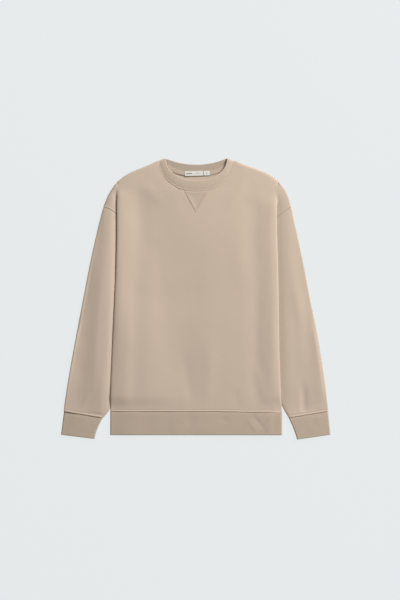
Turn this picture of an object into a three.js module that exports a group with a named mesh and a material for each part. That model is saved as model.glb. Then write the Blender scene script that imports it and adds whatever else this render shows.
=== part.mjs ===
// A crewneck sweatshirt laid flat, front side up, in millimetres.
// +X points to the wearer's left sleeve, +Y to the neck and +Z up, out of the front.
// The origin lies under the middle of the garment, on the surface that it rests on.
import * as THREE from "three";

// Cloth
const CLOTH = 1.6; // wall of the brushed jersey
const RIB = 2.4; // wall of the doubled rib of neck, cuffs and hem
const PATCH = 1.4; // wall of the neck triangle
const TAPE = 1.0; // wall of the neck tape
const LABEL = 0.6; // wall of the woven labels
const SEAM = 0.3; // gap between two pieces at a seam, and under a piece that lies on another

// Levels of the middle of each layer
const BACK_Z = CLOTH / 2;
const EDGE_Z = 4.25; // the rounded outer edge, where front and back meet
const SHOULDER_Z = 7.4; // front panel where it passes over the shoulder

// Heights along Y
const HEM_TOP_Y = -282;
const HEM_END_Y = -340.5;
const SPLIT_Y = 14; // from here down the sleeve is a tube of its own
const SIDE_SEAM_Y = 4; // from here down front and back meet in the side seam
const TUCK_Y = 203; // where the armhole seam slips under the fold of the front
const SHOULDER_Y = 229; // where the armhole seam meets the outline
const CAP_TOP_Y = 295; // where the dropped shoulder runs out into the shoulder line

// How far the sleeve's inner edge lies under the body's side
const SLEEVE_IN = 6.25;

// The two sides of the garment; the fold of the front starts lower on the wearer's left
const SIDES = [
  { name: "right", sign: -1, foldTopY: 272 },
  { name: "left", sign: 1, foldTopY: 262 },
];

// Half the width of the body: its folded side up to y 272, and the shoulder line above
const BODY_EDGE = [
  { y: -282, x: 213.4 }, { y: -253, x: 213 }, { y: -203, x: 211 }, { y: -103, x: 207.5 },
  { y: -3, x: 204.5 }, { y: 84, x: 202 }, { y: 150, x: 201 }, { y: 295, x: 201 },
  { y: 303, x: 191.5 }, { y: 310.5, x: 179 }, { y: 318.3, x: 164 }, { y: 327, x: 146 },
  { y: 337, x: 119 }, { y: 345.5, x: 97.5 },
];

// The outer line of the dropped shoulder and of the sleeve
const SHOULDER_EDGE = [
  { y: 210, x: 239 }, { y: 229, x: 234 }, { y: 236, x: 232 }, { y: 248, x: 228.5 },
  { y: 260, x: 224.5 }, { y: 272, x: 218.5 }, { y: 285, x: 210 }, { y: 295, x: 201 },
];
const SLEEVE_EDGE = [
  { y: -281, x: 329 }, { y: -251, x: 326 }, { y: -211, x: 320 }, { y: -171, x: 314 },
  { y: -131, x: 308 }, { y: -91, x: 301 }, { y: -51, x: 293.5 }, { y: -11, x: 285.5 },
  { y: 29, x: 277 }, { y: 69, x: 269 }, { y: 109, x: 262 }, { y: 149, x: 253 },
  { y: 189, x: 244 }, { y: 229, x: 234 },
];

// The armhole seam: it shows from the outline to y 210, then runs hidden under the fold
const ARMHOLE = [
  { y: 22, x: 193.2 }, { y: 84, x: 191.5 }, { y: 203, x: 190.5 },
  { y: 210, x: 201 }, { y: 216, x: 209 }, { y: 222, x: 219 }, { y: 226.5, x: 228.5 },
  { y: 229, x: 233.9 },
];

// The inner edge of the sleeve where it leaves the body, above the cuff
const SLEEVE_INNER = [
  { y: -296, x: 232.5 }, { y: -281, x: 222.5 }, { y: -272, x: 218.8 }, { y: -266, x: 217.8 },
  { y: -258, x: 217.2 }, { y: -250, x: 214.8 }, { y: -240, x: 211.2 }, { y: -230, x: 208.2 },
  { y: -215, x: 205.6 }, { y: -200, x: 204.7 },
];

// The neck rib, from the middle of the front over the shoulder to the middle of the back
const NECK = [
  { freeX: 0, freeY: 296, freeZ: 10.2, seamX: 0, seamY: 272.5, seamZ: 6.6 },
  { freeX: 17, freeY: 297, freeZ: 10.2, seamX: 21, seamY: 273.5, seamZ: 6.6 },
  { freeX: 34, freeY: 301, freeZ: 10.2, seamX: 37, seamY: 277, seamZ: 6.7 },
  { freeX: 50, freeY: 309, freeZ: 10.1, seamX: 53, seamY: 285, seamZ: 6.8 },
  { freeX: 63.5, freeY: 319, freeZ: 10, seamX: 69, seamY: 297, seamZ: 6.9 },
  { freeX: 71.5, freeY: 330, freeZ: 9.8, seamX: 81, seamY: 312, seamZ: 6.9 },
  { freeX: 75, freeY: 340, freeZ: 9.2, seamX: 89, seamY: 328, seamZ: 6.7 },
  { freeX: 76.4, freeY: 346.5, freeZ: 8, seamX: 93.2, seamY: 340, seamZ: 6.2 },
  { freeX: 76.6, freeY: 348.6, freeZ: 5.8, seamX: 94.4, seamY: 344.6, seamZ: 4.6 },
  { freeX: 74.5, freeY: 347.5, freeZ: 3, seamX: 93, seamY: 343, seamZ: 2.3 },
  { freeX: 69, freeY: 346, freeZ: 1.4, seamX: 87.5, seamY: 339, seamZ: 1.2 },
  { freeX: 58, freeY: 343.5, freeZ: 1.2, seamX: 74, seamY: 331, seamZ: 1.2 },
  { freeX: 45, freeY: 340.5, freeZ: 1.2, seamX: 58, seamY: 322, seamZ: 1.2 },
  { freeX: 31, freeY: 338, freeZ: 1.2, seamX: 40, seamY: 316, seamZ: 1.2 },
  { freeX: 15, freeY: 336, freeZ: 1.2, seamX: 20, seamY: 312.8, seamZ: 1.2 },
  { freeX: 0, freeY: 335.5, freeZ: 1.2, seamX: 0, seamY: 312, seamZ: 1.2 },
];
const NECK_TURN = 8; // the row of NECK that lies on the shoulder line

// The front panel beside the sleeve, where it rolls over and turns under, from inside to seam
const FOLDED = [
  { inward: 46, z: 6.6 }, { inward: 30, z: 8.6 }, { inward: 16, z: 10.1 }, { inward: 7, z: 10.4 },
  { inward: 2.1, z: 9.7 }, { inward: 0, z: 8.3 }, { inward: 1.7, z: 7 }, { inward: 6, z: 6.5 },
  { inward: 9, z: 6.5 }, { inward: 10.5, z: 6.4 },
];
// The same stretch where it turns again, into the dropped shoulder
const TUCKED = [
  { inward: 46, z: 6.6 }, { inward: 30, z: 8.6 }, { inward: 16, z: 10.1 }, { inward: 7, z: 10.4 },
  { inward: 2.1, z: 9.7 }, { inward: 0, z: 8.3 }, { inward: 1.7, z: 7 }, { inward: 6, z: 6.5 },
  { inward: 9.9, z: 6.3 }, { inward: 11.3, z: 4.8 },
];
// The same stretch near the top of the fold, where it steps down without turning under
const STEPPED = [
  { inward: 46, z: 7 }, { inward: 30, z: 8.4 }, { inward: 17, z: 9.6 }, { inward: 8, z: 9.9 },
  { inward: 3.6, z: 9.4 }, { inward: 1.4, z: 8.4 }, { inward: 0.2, z: 7.2 },
  { inward: -0.9, z: 6.1 }, { inward: -2.3, z: 5 }, { inward: -4.4, z: 4.3 },
];
// The same stretch where it comes down to the side seam
const SIDE_SEAM = [
  { inward: 46, z: 6.6 }, { inward: 30, z: 8.6 }, { inward: 16, z: 10.1 }, { inward: 7, z: 10.4 },
  { inward: 2.1, z: 9.7 }, { inward: 0, z: 8.3 }, { inward: 1.7, z: 7 }, { inward: 6, z: 6.5 },
  { inward: 9.2, z: 6 }, { inward: 11.6, z: 4.95 },
];
// The same stretch at the hem, where the side is a plain rounded edge
const HEM_SIDE = [
  { inward: 46, z: 5.8 }, { inward: 30, z: 5.9 }, { inward: 16, z: 5.9 }, { inward: 7, z: 5.9 },
  { inward: 2.3, z: 5.8 }, { inward: 0.8, z: 5.3 }, { inward: 0.2, z: 4.8 }, { inward: 0, z: 4.3 },
  { inward: 0, z: 3.95 }, { inward: 0, z: 3.6 },
];
// The same stretch above the fold, where it lies level and goes on to the dropped shoulder
const LEVEL = [46, 30, 18, 11, 7, 4.6, 3, 1.8, 0.8, 0].map((inward) => ({ inward, z: SHOULDER_Z }));
// The same stretch at the shoulder line, where it comes down to the shoulder seam
const SHOULDER_SIDE = [
  { inward: 46, z: 7.4 }, { inward: 30, z: 7.4 }, { inward: 18, z: 7.4 }, { inward: 11, z: 7.2 },
  { inward: 7, z: 6.9 }, { inward: 4, z: 6.5 }, { inward: 2.4, z: 6.1 }, { inward: 1.2, z: 5.6 },
  { inward: 0, z: 5 }, { inward: 0, z: 4.4 },
];
// The edge of the back panel, from inside to seam, for each stretch of its outline
const BACK_SIDE_SEAM = [
  { inward: 24, z: 0.8 }, { inward: 18, z: 0.8 }, { inward: 14, z: 1 },
  { inward: 12.1, z: 2.2 }, { inward: 11.5, z: 3.75 },
];
const BACK_HEM_SIDE = [
  { inward: 12, z: 0.8 }, { inward: 5, z: 0.85 }, { inward: 2, z: 1.6 },
  { inward: 0, z: 2.6 }, { inward: 0, z: 3.3 },
];
const BACK_SHOULDER = [
  { inward: 12, z: 0.8 }, { inward: 5, z: 0.85 }, { inward: 1.9, z: 1.5 },
  { inward: 0, z: 3.1 }, { inward: 0, z: 4.1 },
];

// Height of a sleeve or dropped shoulder, by its distance outside the body's folded side
const RISE = [
  { out: -12, z: 3.4 }, { out: -5, z: 3.5 }, { out: 0, z: 3.9 }, { out: 7, z: 5.3 },
  { out: 16, z: 6.7 }, { out: 28, z: 7.2 }, { out: 60, z: 7.3 },
];
// Height of a rounded outer edge above and below, by the distance inside it
const EDGE_TOP = [
  { inward: 0, z: 4.25 }, { inward: 0.7, z: 5.4 }, { inward: 2.6, z: 6.3 }, { inward: 7, z: 6.9 },
  { inward: 15, z: 7.3 },
];
const EDGE_UNDER = [
  { inward: 0.7, z: 2.4 }, { inward: 2.8, z: 1.1 }, { inward: 14, z: 0.8 },
];

// Height of the front panel along its middle and along the neck seam
const MIDDLE = [
  { y: -282, z: 5.8 }, { y: -230, z: 5.3 }, { y: 0, z: 4.9 }, { y: 150, z: 5 },
  { y: 230, z: 5.8 }, { y: 272.5, z: 6.6 }, { y: 312, z: 6.9 }, { y: 328, z: 6.7 },
  { y: 340, z: 6.2 }, { y: 344.6, z: 5.4 },
];

// The widest soft folds of the front: a ridge or trough between two points
const FRONT_FOLDS = [
  { x1: -168, y1: 236, x2: -118, y2: 40, wide: 26, high: 1.6 },
  { x1: -96, y1: 150, x2: -74, y2: -150, wide: 30, high: 1.3 },
  { x1: 28, y1: 60, x2: 78, y2: -120, wide: 28, high: 1.1 },
  { x1: 150, y1: 190, x2: 176, y2: -60, wide: 18, high: -1 },
  { x1: 92, y1: -150, x2: 62, y2: -246, wide: 22, high: 1.4 },
];

const clamp = (t) => Math.min(1, Math.max(0, t));
const mix = (a, b, t) => a + (b - a) * t;
const smooth = (t) => clamp(t) ** 2 * (3 - 2 * clamp(t));

// The value of a column at a place in a table, straight between its rows.
function read(table, key, at, column) {
  const rows = table[0][key] <= table.at(-1)[key] ? table : [...table].reverse();
  if (at <= rows[0][key]) return rows[0][column];
  for (let i = 1; i < rows.length; i++)
    if (at <= rows[i][key]) {
      const t = (at - rows[i - 1][key]) / (rows[i][key] - rows[i - 1][key]);
      return mix(rows[i - 1][column], rows[i][column], t);
    }
  return rows.at(-1)[column];
}

// A closed wall of the given thickness about a middle surface. Each patch is a grid of points,
// and points that two patches share are welded, so a piece may fork, close to a tube or taper.
function wallOf(patches, thickness) {
  const points = [];
  const numbers = new Map();
  const number = (p) => {
    const key = [p.x, p.y, p.z].map((value) => Math.round(value * 1000)).join();
    if (!numbers.has(key)) numbers.set(key, points.push(p) - 1);
    return numbers.get(key);
  };
  const faces = [];
  const addFace = (...corners) => {
    if (new Set(corners).size === 3) faces.push(corners);
  };
  for (const rows of patches)
    for (let r = 1; r < rows.length; r++)
      for (let c = 1; c < rows[r].length; c++) {
        const [a, b] = [number(rows[r - 1][c - 1]), number(rows[r - 1][c])];
        const [d, e] = [number(rows[r][c - 1]), number(rows[r][c])];
        addFace(a, b, e);
        addFace(a, e, d);
      }
  return shellOf(points, faces, thickness);
}

// The closed solid that lies half the thickness to each side of the faces.
const LYING = 0.85; // upward part of the normal of a wall that lies flat
const STANDING = 0.54; // the same of a wall that stands
const MIN_REACH = 0.67; // a sharp bend moves its points out by at most one and a half times
function shellOf(points, faces, thickness) {
  const normals = points.map(() => new THREE.Vector3());
  const flats = faces.map(([a, b, c]) => {
    const side = points[b].clone().sub(points[a]);
    return side.cross(points[c].clone().sub(points[a])).normalize();
  });
  faces.forEach((corners, f) =>
    corners.forEach((v, i) => {
      const to = points[corners[(i + 1) % 3]].clone().sub(points[v]);
      const from = points[corners[(i + 2) % 3]].clone().sub(points[v]);
      normals[v].addScaledVector(flats[f], to.angleTo(from));
    }),
  );
  const edges = new Set(faces.flatMap(([a, b, c]) => [`${a},${b}`, `${b},${c}`, `${c},${a}`]));
  const ends = new Set();
  for (const [a, b, c] of faces)
    for (const [from, to] of [[a, b], [b, c], [c, a]])
      if (!edges.has(`${to},${from}`)) ends.add(from).add(to);
  // An end is cut upright where the wall lies flat, and level where the wall stands.
  normals.forEach((n, v) => {
    if (ends.has(v) && Math.abs(n.normalize().z) > LYING) n.set(0, 0, n.z);
    else if (ends.has(v) && Math.abs(n.z) < STANDING) n.setZ(0);
    n.normalize();
  });
  // A bend keeps its thickness when its points move out further.
  const reach = points.map(() => []);
  faces.forEach((corners, f) => corners.forEach((v) => reach[v].push(flats[f].dot(normals[v]))));
  const half = reach.map((all) => thickness / 2 / Math.max(MIN_REACH, Math.min(...all)));
  const above = points.map((p, i) => p.clone().addScaledVector(normals[i], half[i]));
  const below = points.map((p, i) => p.clone().addScaledVector(normals[i], -half[i]));
  const corners = [...above, ...below];
  corners.forEach((p) => p.setZ(Math.max(0, p.z)));
  const count = points.length;
  const solid = [];
  for (const [a, b, c] of faces) {
    solid.push([a, b, c], [a + count, c + count, b + count]);
    for (const [from, to] of [[a, b], [b, c], [c, a]])
      if (!edges.has(`${to},${from}`))
        solid.push([to, from, from + count], [to, from + count, to + count]);
  }
  const volume = solid.reduce(
    (sum, [a, b, c]) => sum + corners[a].dot(corners[b].clone().cross(corners[c])),
    0,
  );
  const geometry = new THREE.BufferGeometry().setFromPoints(corners);
  geometry.setIndex(solid.flatMap(([a, b, c]) => (volume < 0 ? [a, c, b] : [a, b, c])));
  return geometry;
}

// A row of points on one side of the garment, mirrored for the wearer's right.
const place = (side, x, y, z) => new THREE.Vector3(side.sign * x, y, z);
const turned = (side, rows) => (side.sign < 0 ? rows.map((row) => [...row].reverse()) : rows);

// How far the front has stepped down at its fold, turned under it, and come back at the hem,
// below its nose and above it
const FOLD_RUN = 24;
const TUCK_START = 18;
const HEM_START = 57;
const HEM_RUN = 40;
const HEM_NOSE_START = 40;
const HEM_NOSE_RUN = 34;
const foldAt = (side, y) => smooth((side.foldTopY - y) / FOLD_RUN);
const tuckAt = (side, y) => smooth((side.foldTopY - TUCK_START - y) / FOLD_RUN);
const hemAt = (y) => smooth((HEM_TOP_Y + HEM_START - y) / HEM_RUN);
const hemNoseAt = (y) => smooth((HEM_TOP_Y + HEM_NOSE_START - y) / HEM_NOSE_RUN);
const shoulderAt = (y) => smooth(1 + (y - CAP_TOP_Y) / 12);

// The soft folds of the front at a point of the garment.
function foldsAt(x, y) {
  let z = 0;
  for (const fold of FRONT_FOLDS) {
    const [dx, dy] = [fold.x2 - fold.x1, fold.y2 - fold.y1];
    const t = clamp(((x - fold.x1) * dx + (y - fold.y1) * dy) / (dx * dx + dy * dy));
    const away = Math.hypot(x - fold.x1 - t * dx, y - fold.y1 - t * dy) / fold.wide;
    z += fold.high * Math.exp(-away * away) * smooth(4 * t * (1 - t));
  }
  return z;
}

const NOSE = 5; // the row of the tables above that is furthest out

// The points of the front panel's side stretch at a height, from inside to seam.
function sideStretch(side, y) {
  const fold = foldAt(side, y);
  const tuck = tuckAt(side, y);
  const over = shoulderAt(y);
  const upper = y >= TUCK_Y ? TUCKED : FOLDED;
  const seam = y > SIDE_SEAM_Y ? upper : SIDE_SEAM;
  return FOLDED.map((_, i) => {
    const level = {
      inward: mix(LEVEL[i].inward, SHOULDER_SIDE[i].inward, over),
      z: mix(LEVEL[i].z, SHOULDER_SIDE[i].z, over),
    };
    const step = {
      inward: mix(level.inward, STEPPED[i].inward, fold),
      z: mix(level.z, STEPPED[i].z, fold),
    };
    const hem = i <= NOSE ? hemNoseAt(y) : hemAt(y);
    return {
      inward: mix(mix(step.inward, seam[i].inward, tuck), HEM_SIDE[i].inward, hem),
      z: mix(mix(step.z, seam[i].z, tuck), HEM_SIDE[i].z, hem),
    };
  });
}

// A distance inside an edge, drawn in where the piece is narrow; the rounded edge keeps its shape.
const squeezed = (inward, squeeze, width) => inward / (1 + (inward / width) * (1 / squeeze - 1));

// One row of the front panel, from the middle or the neck seam to the end of its side stretch.
const STRETCH = 46; // width of the side stretch
const SHOULDER_EASE = 0.9; // extra gap to the neck rib where both turn over the shoulder
const SPREAD = [0, 0.22, 0.47, 0.74];
const FRONT_NECK = NECK.slice(0, NECK_TURN + 1);
function frontRow(side, y) {
  const ease = SHOULDER_EASE * smooth((y - 320) / 15);
  const start = y <= NECK[0].seamY ? 0 : read(FRONT_NECK, "seamY", y, "seamX") + ease;
  const edge = read(BODY_EDGE, "y", y, "x");
  const squeeze = Math.min(1, (edge - start) / (2 * STRETCH));
  const stretch = sideStretch(side, y);
  const inner = edge - stretch[0].inward * squeeze;
  const startZ = read(MIDDLE, "y", y, "z");
  const row = SPREAD.map((t) => {
    const x = mix(start, inner, t);
    const z = mix(startZ, mix(startZ, stretch[0].z, Math.min(1, squeeze * 2)), smooth(t));
    return place(side, x, y, z + foldsAt(side.sign * x, y) * smooth((edge - x) / 60) * (1 - hemAt(y)));
  });
  for (const { inward, z } of stretch) {
    const eased = z > startZ ? mix(startZ, z, Math.min(1, squeeze * 2)) : z;
    row.push(place(side, edge - squeezed(inward, squeeze, STRETCH), y, eased));
  }
  return row;
}

// Height of the layer beside the fold: a sleeve, or the dropped shoulder next to it.
function lowerZ(side, x, y, edge) {
  const rise = read(RISE, "out", x - read(BODY_EDGE, "y", y, "x"), "z");
  const level = mix(SHOULDER_Z, rise, foldAt(side, y));
  return Math.min(level, read(EDGE_TOP, "inward", edge - x, "z"));
}

// The dropped shoulder: the part of the front panel outside its fold.
const TURN = 1.6; // width of the turn from the fold into the shoulder
const CAP_SPREAD = [0, 0.07, 0.2, 0.38, 0.58, 0.78, 0.93, 1, 1];
const CAP_Y = [
  TUCK_Y, 205.5, 210, 216, 222, 226.5, SHOULDER_Y, 240, 248, 256, 272.2, 285, CAP_TOP_Y,
];
function capRow(side, y) {
  const from = frontRow(side, y).at(-1);
  const edge = read(SHOULDER_EDGE, "y", y, "x");
  const to = y < SHOULDER_Y ? read(ARMHOLE, "y", y, "x") - SEAM / 2 : edge;
  if (y === TUCK_Y || y === CAP_TOP_Y) return CAP_SPREAD.map(() => from);
  return CAP_SPREAD.map((t, i) => {
    const away = t * (to - side.sign * from.x);
    const x = to - (1 - t) * (to - side.sign * from.x);
    const level = lowerZ(side, x, y, edge);
    const turn = (from.z - level) * Math.max(0, 1 - away / TURN);
    const outer = y >= SHOULDER_Y && t === 1;
    const seam = i === CAP_SPREAD.length - 1 ? EDGE_Z + SEAM / 2 : EDGE_Z + CLOTH / 2;
    return t === 0 ? from : place(side, x, y, outer ? seam : level + turn);
  });
}

const FRONT_Y = [
  -281.85, -265, -256, -247, -238, -229, -215, -150, -80, SIDE_SEAM_Y, SPLIT_Y, 100, TUCK_Y, 205.5,
  210, 216, 222, 226.5, SHOULDER_Y, 240, 248, 256, 272.2, 273.5, 277, 285, CAP_TOP_Y, 297, 312, 328,
  333, 337.5, 341,
];
function frontPanel() {
  const patches = [];
  for (const side of SIDES) {
    patches.push(turned(side, FRONT_Y.map((y) => frontRow(side, y))));
    patches.push(turned(side, CAP_Y.map((y) => capRow(side, y))));
  }
  return wallOf(patches, CLOTH);
}

// The edge of the back panel at a height, from inside to seam.
function backEdge(y) {
  const armhole = read(ARMHOLE, "y", y, "x") - SEAM / 2;
  const flat = BACK_SHOULDER.map(({ inward }) => ({ x: armhole - inward, z: BACK_Z }));
  const outline = (table, x) => table.map(({ inward, z }) => ({ x: x - inward, z }));
  if (y > SHOULDER_Y - 1) {
    const table = y < CAP_TOP_Y ? SHOULDER_EDGE : BODY_EDGE;
    return outline(BACK_SHOULDER, read(table, "y", y, "x"));
  }
  if (y > SIDE_SEAM_Y) return flat;
  const edge = read(BODY_EDGE, "y", y, "x");
  const [side, hem] = [outline(BACK_SIDE_SEAM, edge), outline(BACK_HEM_SIDE, edge)];
  const end = side.length - 1;
  return side.map(({ x, z }, i) => ({
    x: mix(x, hem[i].x, hemAt(y)),
    z: mix(z, hem[i].z, hemAt(y)) - (i === end ? 2 * SEAM * 4 * hemAt(y) * (1 - hemAt(y)) : 0),
  }));
}

const BACK_STRETCH = 26;
const BACK_NECK = NECK.slice(NECK_TURN).reverse();
const BACK_Y = [
  -281.85, -265, -256, -247, -238, -229, -215, -100, SIDE_SEAM_Y, SPLIT_Y, 84, TUCK_Y, 210, 216,
  222, 226.5, SHOULDER_Y, 240, 256, 272.2, 285, CAP_TOP_Y, 311.7, 312.8, 316, 322, 331, 338.5,
];
function backRow(side, y) {
  const start = y <= BACK_NECK[0].seamY ? 0 : read(BACK_NECK, "seamY", y, "seamX") + SEAM;
  const edge = backEdge(y);
  const end = edge.at(-1).x;
  const squeeze = Math.min(1, (end - start) / BACK_STRETCH);
  const near = edge.map(({ x, z }) => place(side, end - (end - x) * squeeze, y, z));
  const reach = end - (end - edge[0].x) * squeeze;
  const flat = [0, 0.35, 0.7].map((t) => place(side, mix(start, reach, t), y, BACK_Z));
  return [...flat, ...near];
}
function backPanel() {
  return wallOf(SIDES.map((side) => turned(side, BACK_Y.map((y) => backRow(side, y)))), CLOTH);
}

// A sleeve, row by row from the armhole to the cuff. Its seam ends are yIn, its outer edge yOut.
const SLEEVE_ROWS = [227.4, 226.5, 222, 216, 210, 205.5, 203, 190, 84, 22, 14, -60, -130, -200, -230]
  .map((y) => ({ yIn: y, yOut: y }))
  .concat([
    { yIn: -242, yOut: -241 }, { yIn: -252, yOut: -250 }, { yIn: -264, yOut: -259 },
    { yIn: -281, yOut: -270 }, { yIn: -295.85, yOut: -280.85 },
  ]);
const SLEEVE_STRETCH = 48;
const SLEEVE_FLAT = 0.74; // how much flatter the sleeve is at the cuff
const cuffAt = (y) => smooth((-215 - y) / 66);
const seamDrop = (y) => (y > SPLIT_Y ? mix(0.2, 0.8, smooth((y - TUCK_Y) / 19)) : 0);

function sleeveInner(side, y) {
  if (y > SPLIT_Y) return read(ARMHOLE, "y", y, "x");
  const under = read(BODY_EDGE, "y", y, "x") - SLEEVE_IN;
  return y > SLEEVE_INNER.at(-1).y ? under : read(SLEEVE_INNER, "y", y, "x");
}

// The sleeve's section at a row: along the front from the seam to the outer edge, and back under.
function sleeveRing(side, { yIn, yOut }) {
  const inner = sleeveInner(side, yIn) + (yIn > SPLIT_Y ? SEAM : 0);
  const edge = read(SLEEVE_EDGE, "y", yOut, "x");
  const squeeze = Math.min(1, (edge - inner) / SLEEVE_STRETCH);
  const down = (x) => mix(yIn, yOut, (x - inner) / Math.max(1, edge - inner)) - seamDrop(yIn);
  const soft = (z) => mix(z, BACK_Z + (z - BACK_Z) * SLEEVE_FLAT, cuffAt(yIn));
  const at = (x, z) => place(side, x, down(x), soft(z));
  const body = read(BODY_EDGE, "y", Math.max(yIn, SLEEVE_INNER.at(-2).y), "x");
  const frontZ = (x) =>
    Math.min(read(RISE, "out", x - body, "z"), read(EDGE_TOP, "inward", edge - x, "z"));
  const [low, high] = [inner + 23 * squeeze, edge - EDGE_TOP.at(-1).inward * squeeze];
  const over = [0, 6, 13, 23].map((a) => inner + a * squeeze)
    .concat([mix(low, high, 0.34), mix(low, high, 0.67)])
    .concat(EDGE_TOP.slice(1).reverse().map(({ inward }) => edge - inward * squeeze))
    .map((x) => at(x, frontZ(x)));
  const nose = at(edge, EDGE_Z);
  const turn = edge - EDGE_UNDER.at(-1).inward * squeeze;
  const under = EDGE_UNDER.map(({ inward, z }) => at(edge - inward * squeeze, z))
    .concat([at(mix(turn, inner, 0.5), BACK_Z), at(inner, BACK_Z)]);
  return [...over, nose, ...under];
}

const SLEEVE_NOSE = 10; // place of the outer edge in a ring
function sleeve(side) {
  const rings = SLEEVE_ROWS.map((row) => sleeveRing(side, row));
  const tip = rings[0][SLEEVE_NOSE];
  rings[0] = rings[0].map(() => tip);
  const closed = rings.filter((_, i) => SLEEVE_ROWS[i].yIn <= SPLIT_Y);
  const fold = closed.map((ring) => {
    const [from, to] = [ring.at(-1), ring[0]];
    const middle = from.clone().lerp(to, 0.5);
    middle.x -= side.sign * (to.z - from.z) / 2;
    return [from, middle, to];
  });
  return wallOf([turned(side, rings), turned(side, fold)], CLOTH);
}

// A cuff: a flattened ring of rib, its upper edge eased on to the sleeve.
const CUFF_TOP = { inX: 233.7, inY: -296.15, outX: 328.6, outY: -281.15 };
const CUFF_END = { inX: 256, inY: -349.8, outX: 334.6, outY: -338.2 };
const CUFF_BOW = 2.5; // how far the inner edge curves in
const CUFF_SECTION = [
  { part: 0, z: 3.5 }, { part: 0.007, z: 5.1 }, { part: 0.025, z: 5.8 }, { part: 0.25, z: 6 },
  { part: 0.5, z: 6.1 }, { part: 0.75, z: 6 }, { part: 0.975, z: 5.8 }, { part: 0.993, z: 5.1 },
  { part: 1, z: 3.5 }, { part: 0.993, z: 1.9 }, { part: 0.975, z: 1.2 }, { part: 0.5, z: 1.2 },
  { part: 0.025, z: 1.2 }, { part: 0.007, z: 1.9 }, { part: 0, z: 3.5 },
];
function cuff(side) {
  const rows = [0, 0.33, 0.67, 1].map((down) =>
    CUFF_SECTION.map(({ part, z }) => {
      const bow = CUFF_BOW * 4 * down * (1 - down) * (1 - part);
      const x = mix(mix(CUFF_TOP.inX, CUFF_TOP.outX, part), mix(CUFF_END.inX, CUFF_END.outX, part), down);
      const y = mix(mix(CUFF_TOP.inY, CUFF_TOP.outY, part), mix(CUFF_END.inY, CUFF_END.outY, part), down);
      return place(side, x - bow, y, z);
    }),
  );
  return wallOf([turned(side, rows)], RIB);
}

// The hem rib: a front and a back strip that meet at the side seams.
const HEM_HALF = 213; // half the width between the middles of its folded sides
const HEM_FRONT = [
  { inward: 213, z: 5.9 }, { inward: 150, z: 5.9 }, { inward: 90, z: 5.9 }, { inward: 40, z: 5.9 },
  { inward: 12, z: 5.9 }, { inward: 2.3, z: 5.9 }, { inward: 0.7, z: 5.2 }, { inward: 0, z: 4.2 },
  { inward: 0, z: 3.7 },
];
const HEM_BACK = [
  { inward: 213, z: 1.2 }, { inward: 100, z: 1.2 }, { inward: 12, z: 1.2 }, { inward: 2.3, z: 1.2 },
  { inward: 0.7, z: 1.9 }, { inward: 0, z: 2.9 }, { inward: 0, z: 3.4 },
];
function hemStrip(section) {
  const rows = (side) => [HEM_TOP_Y - SEAM / 2, -311, HEM_END_Y].map((y) =>
    section.map(({ inward, z }) => place(side, HEM_HALF - inward, y, z)),
  );
  return wallOf(SIDES.map((side) => turned(side, rows(side))), RIB);
}

// The neck rib: one closed strip, folded over at both shoulders.
function neckRib() {
  const patches = SIDES.map((side) => {
    const rows = NECK.map(({ freeX, freeY, freeZ, seamX, seamY, seamZ }) => {
      const free = place(side, freeX, freeY, freeZ);
      const seam = place(side, seamX, seamY, seamZ);
      seam.lerp(free, SEAM / seam.distanceTo(free));
      const bulge = (t) => free.clone().lerp(seam, t);
      return [free, bulge(0.33), bulge(0.67), seam];
    });
    return turned(side, rows);
  });
  return wallOf(patches, RIB);
}

// The triangle under the neck, laid on the front panel.
const V_HALF = 32.5;
const V_TOP_Y = 271.4;
const V_TIP_Y = 217;
const V_ROWS = [0, 0.03, 0.28, 0.52, 0.76, 1]; // from the tip, as parts of its height
function frontZAt(x, y) {
  const side = SIDES[1];
  const edge = read(BODY_EDGE, "y", y, "x");
  const stretch = sideStretch(side, y);
  const t = Math.abs(x) / (edge - stretch[0].inward);
  return mix(read(MIDDLE, "y", y, "z"), stretch[0].z, smooth(t)) + foldsAt(x, y);
}
function neckTriangle() {
  const lift = CLOTH / 2 + SEAM + 0.1 + PATCH / 2;
  const rows = V_ROWS.map((up) => {
    const y = mix(V_TIP_Y, V_TOP_Y, up);
    const half = mix(0.8, V_HALF, up);
    return [-1, -0.5, 0, 0.5, 1].map((t) => new THREE.Vector3(t * half, y, frontZAt(t * half, y) + lift));
  });
  return wallOf([rows], PATCH);
}

// The tape that covers the back neck seam on the inside.
const TAPE_HALF = 5.5;
const TAPE_Z = RIB + SEAM + TAPE / 2;
function neckTape() {
  const seam = NECK.slice(NECK_TURN + 3).reverse();
  const line = [...seam.slice(1).reverse().map((row) => ({ x: -row.seamX, y: row.seamY }))]
    .concat(seam.map((row) => ({ x: row.seamX, y: row.seamY })));
  const rows = line.map((p, i) => {
    const [a, b] = [line[Math.max(0, i - 1)], line[Math.min(line.length - 1, i + 1)]];
    const across = new THREE.Vector3(a.y - b.y, b.x - a.x, 0).normalize();
    return [-TAPE_HALF, TAPE_HALF].map((s) =>
      new THREE.Vector3(p.x, p.y, TAPE_Z).addScaledVector(across, s),
    );
  });
  return wallOf([rows], TAPE);
}

// A woven label, a thin plate stitched on the tape.
const LABELS = [
  { name: "label_main", x: -6, y: 313.1, wide: 45.5, tall: 12 },
  { name: "label_size", x: 26.4, y: 313.9, wide: 14.5, tall: 12 },
];
const LABEL_TURN = THREE.MathUtils.degToRad(1.6);
const LABEL_Z = TAPE_Z + TAPE / 2 + SEAM + LABEL / 2;

// Colours, roughness and metalness
const dress = (color, roughness) => new THREE.MeshStandardMaterial({ color, roughness, metalness: 0 });
const jersey = dress("#c2b09f", 0.95);
const ribKnit = dress("#b3a290", 0.95);
const tapeCloth = dress("#b9a793", 0.9);
const labelCloth = dress("#e9e6dc", 0.7);

const sweatshirt = new THREE.Group();
function add(name, geometry, material) {
  const mesh = new THREE.Mesh(geometry, material);
  mesh.name = name;
  sweatshirt.add(mesh);
  return mesh;
}

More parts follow.
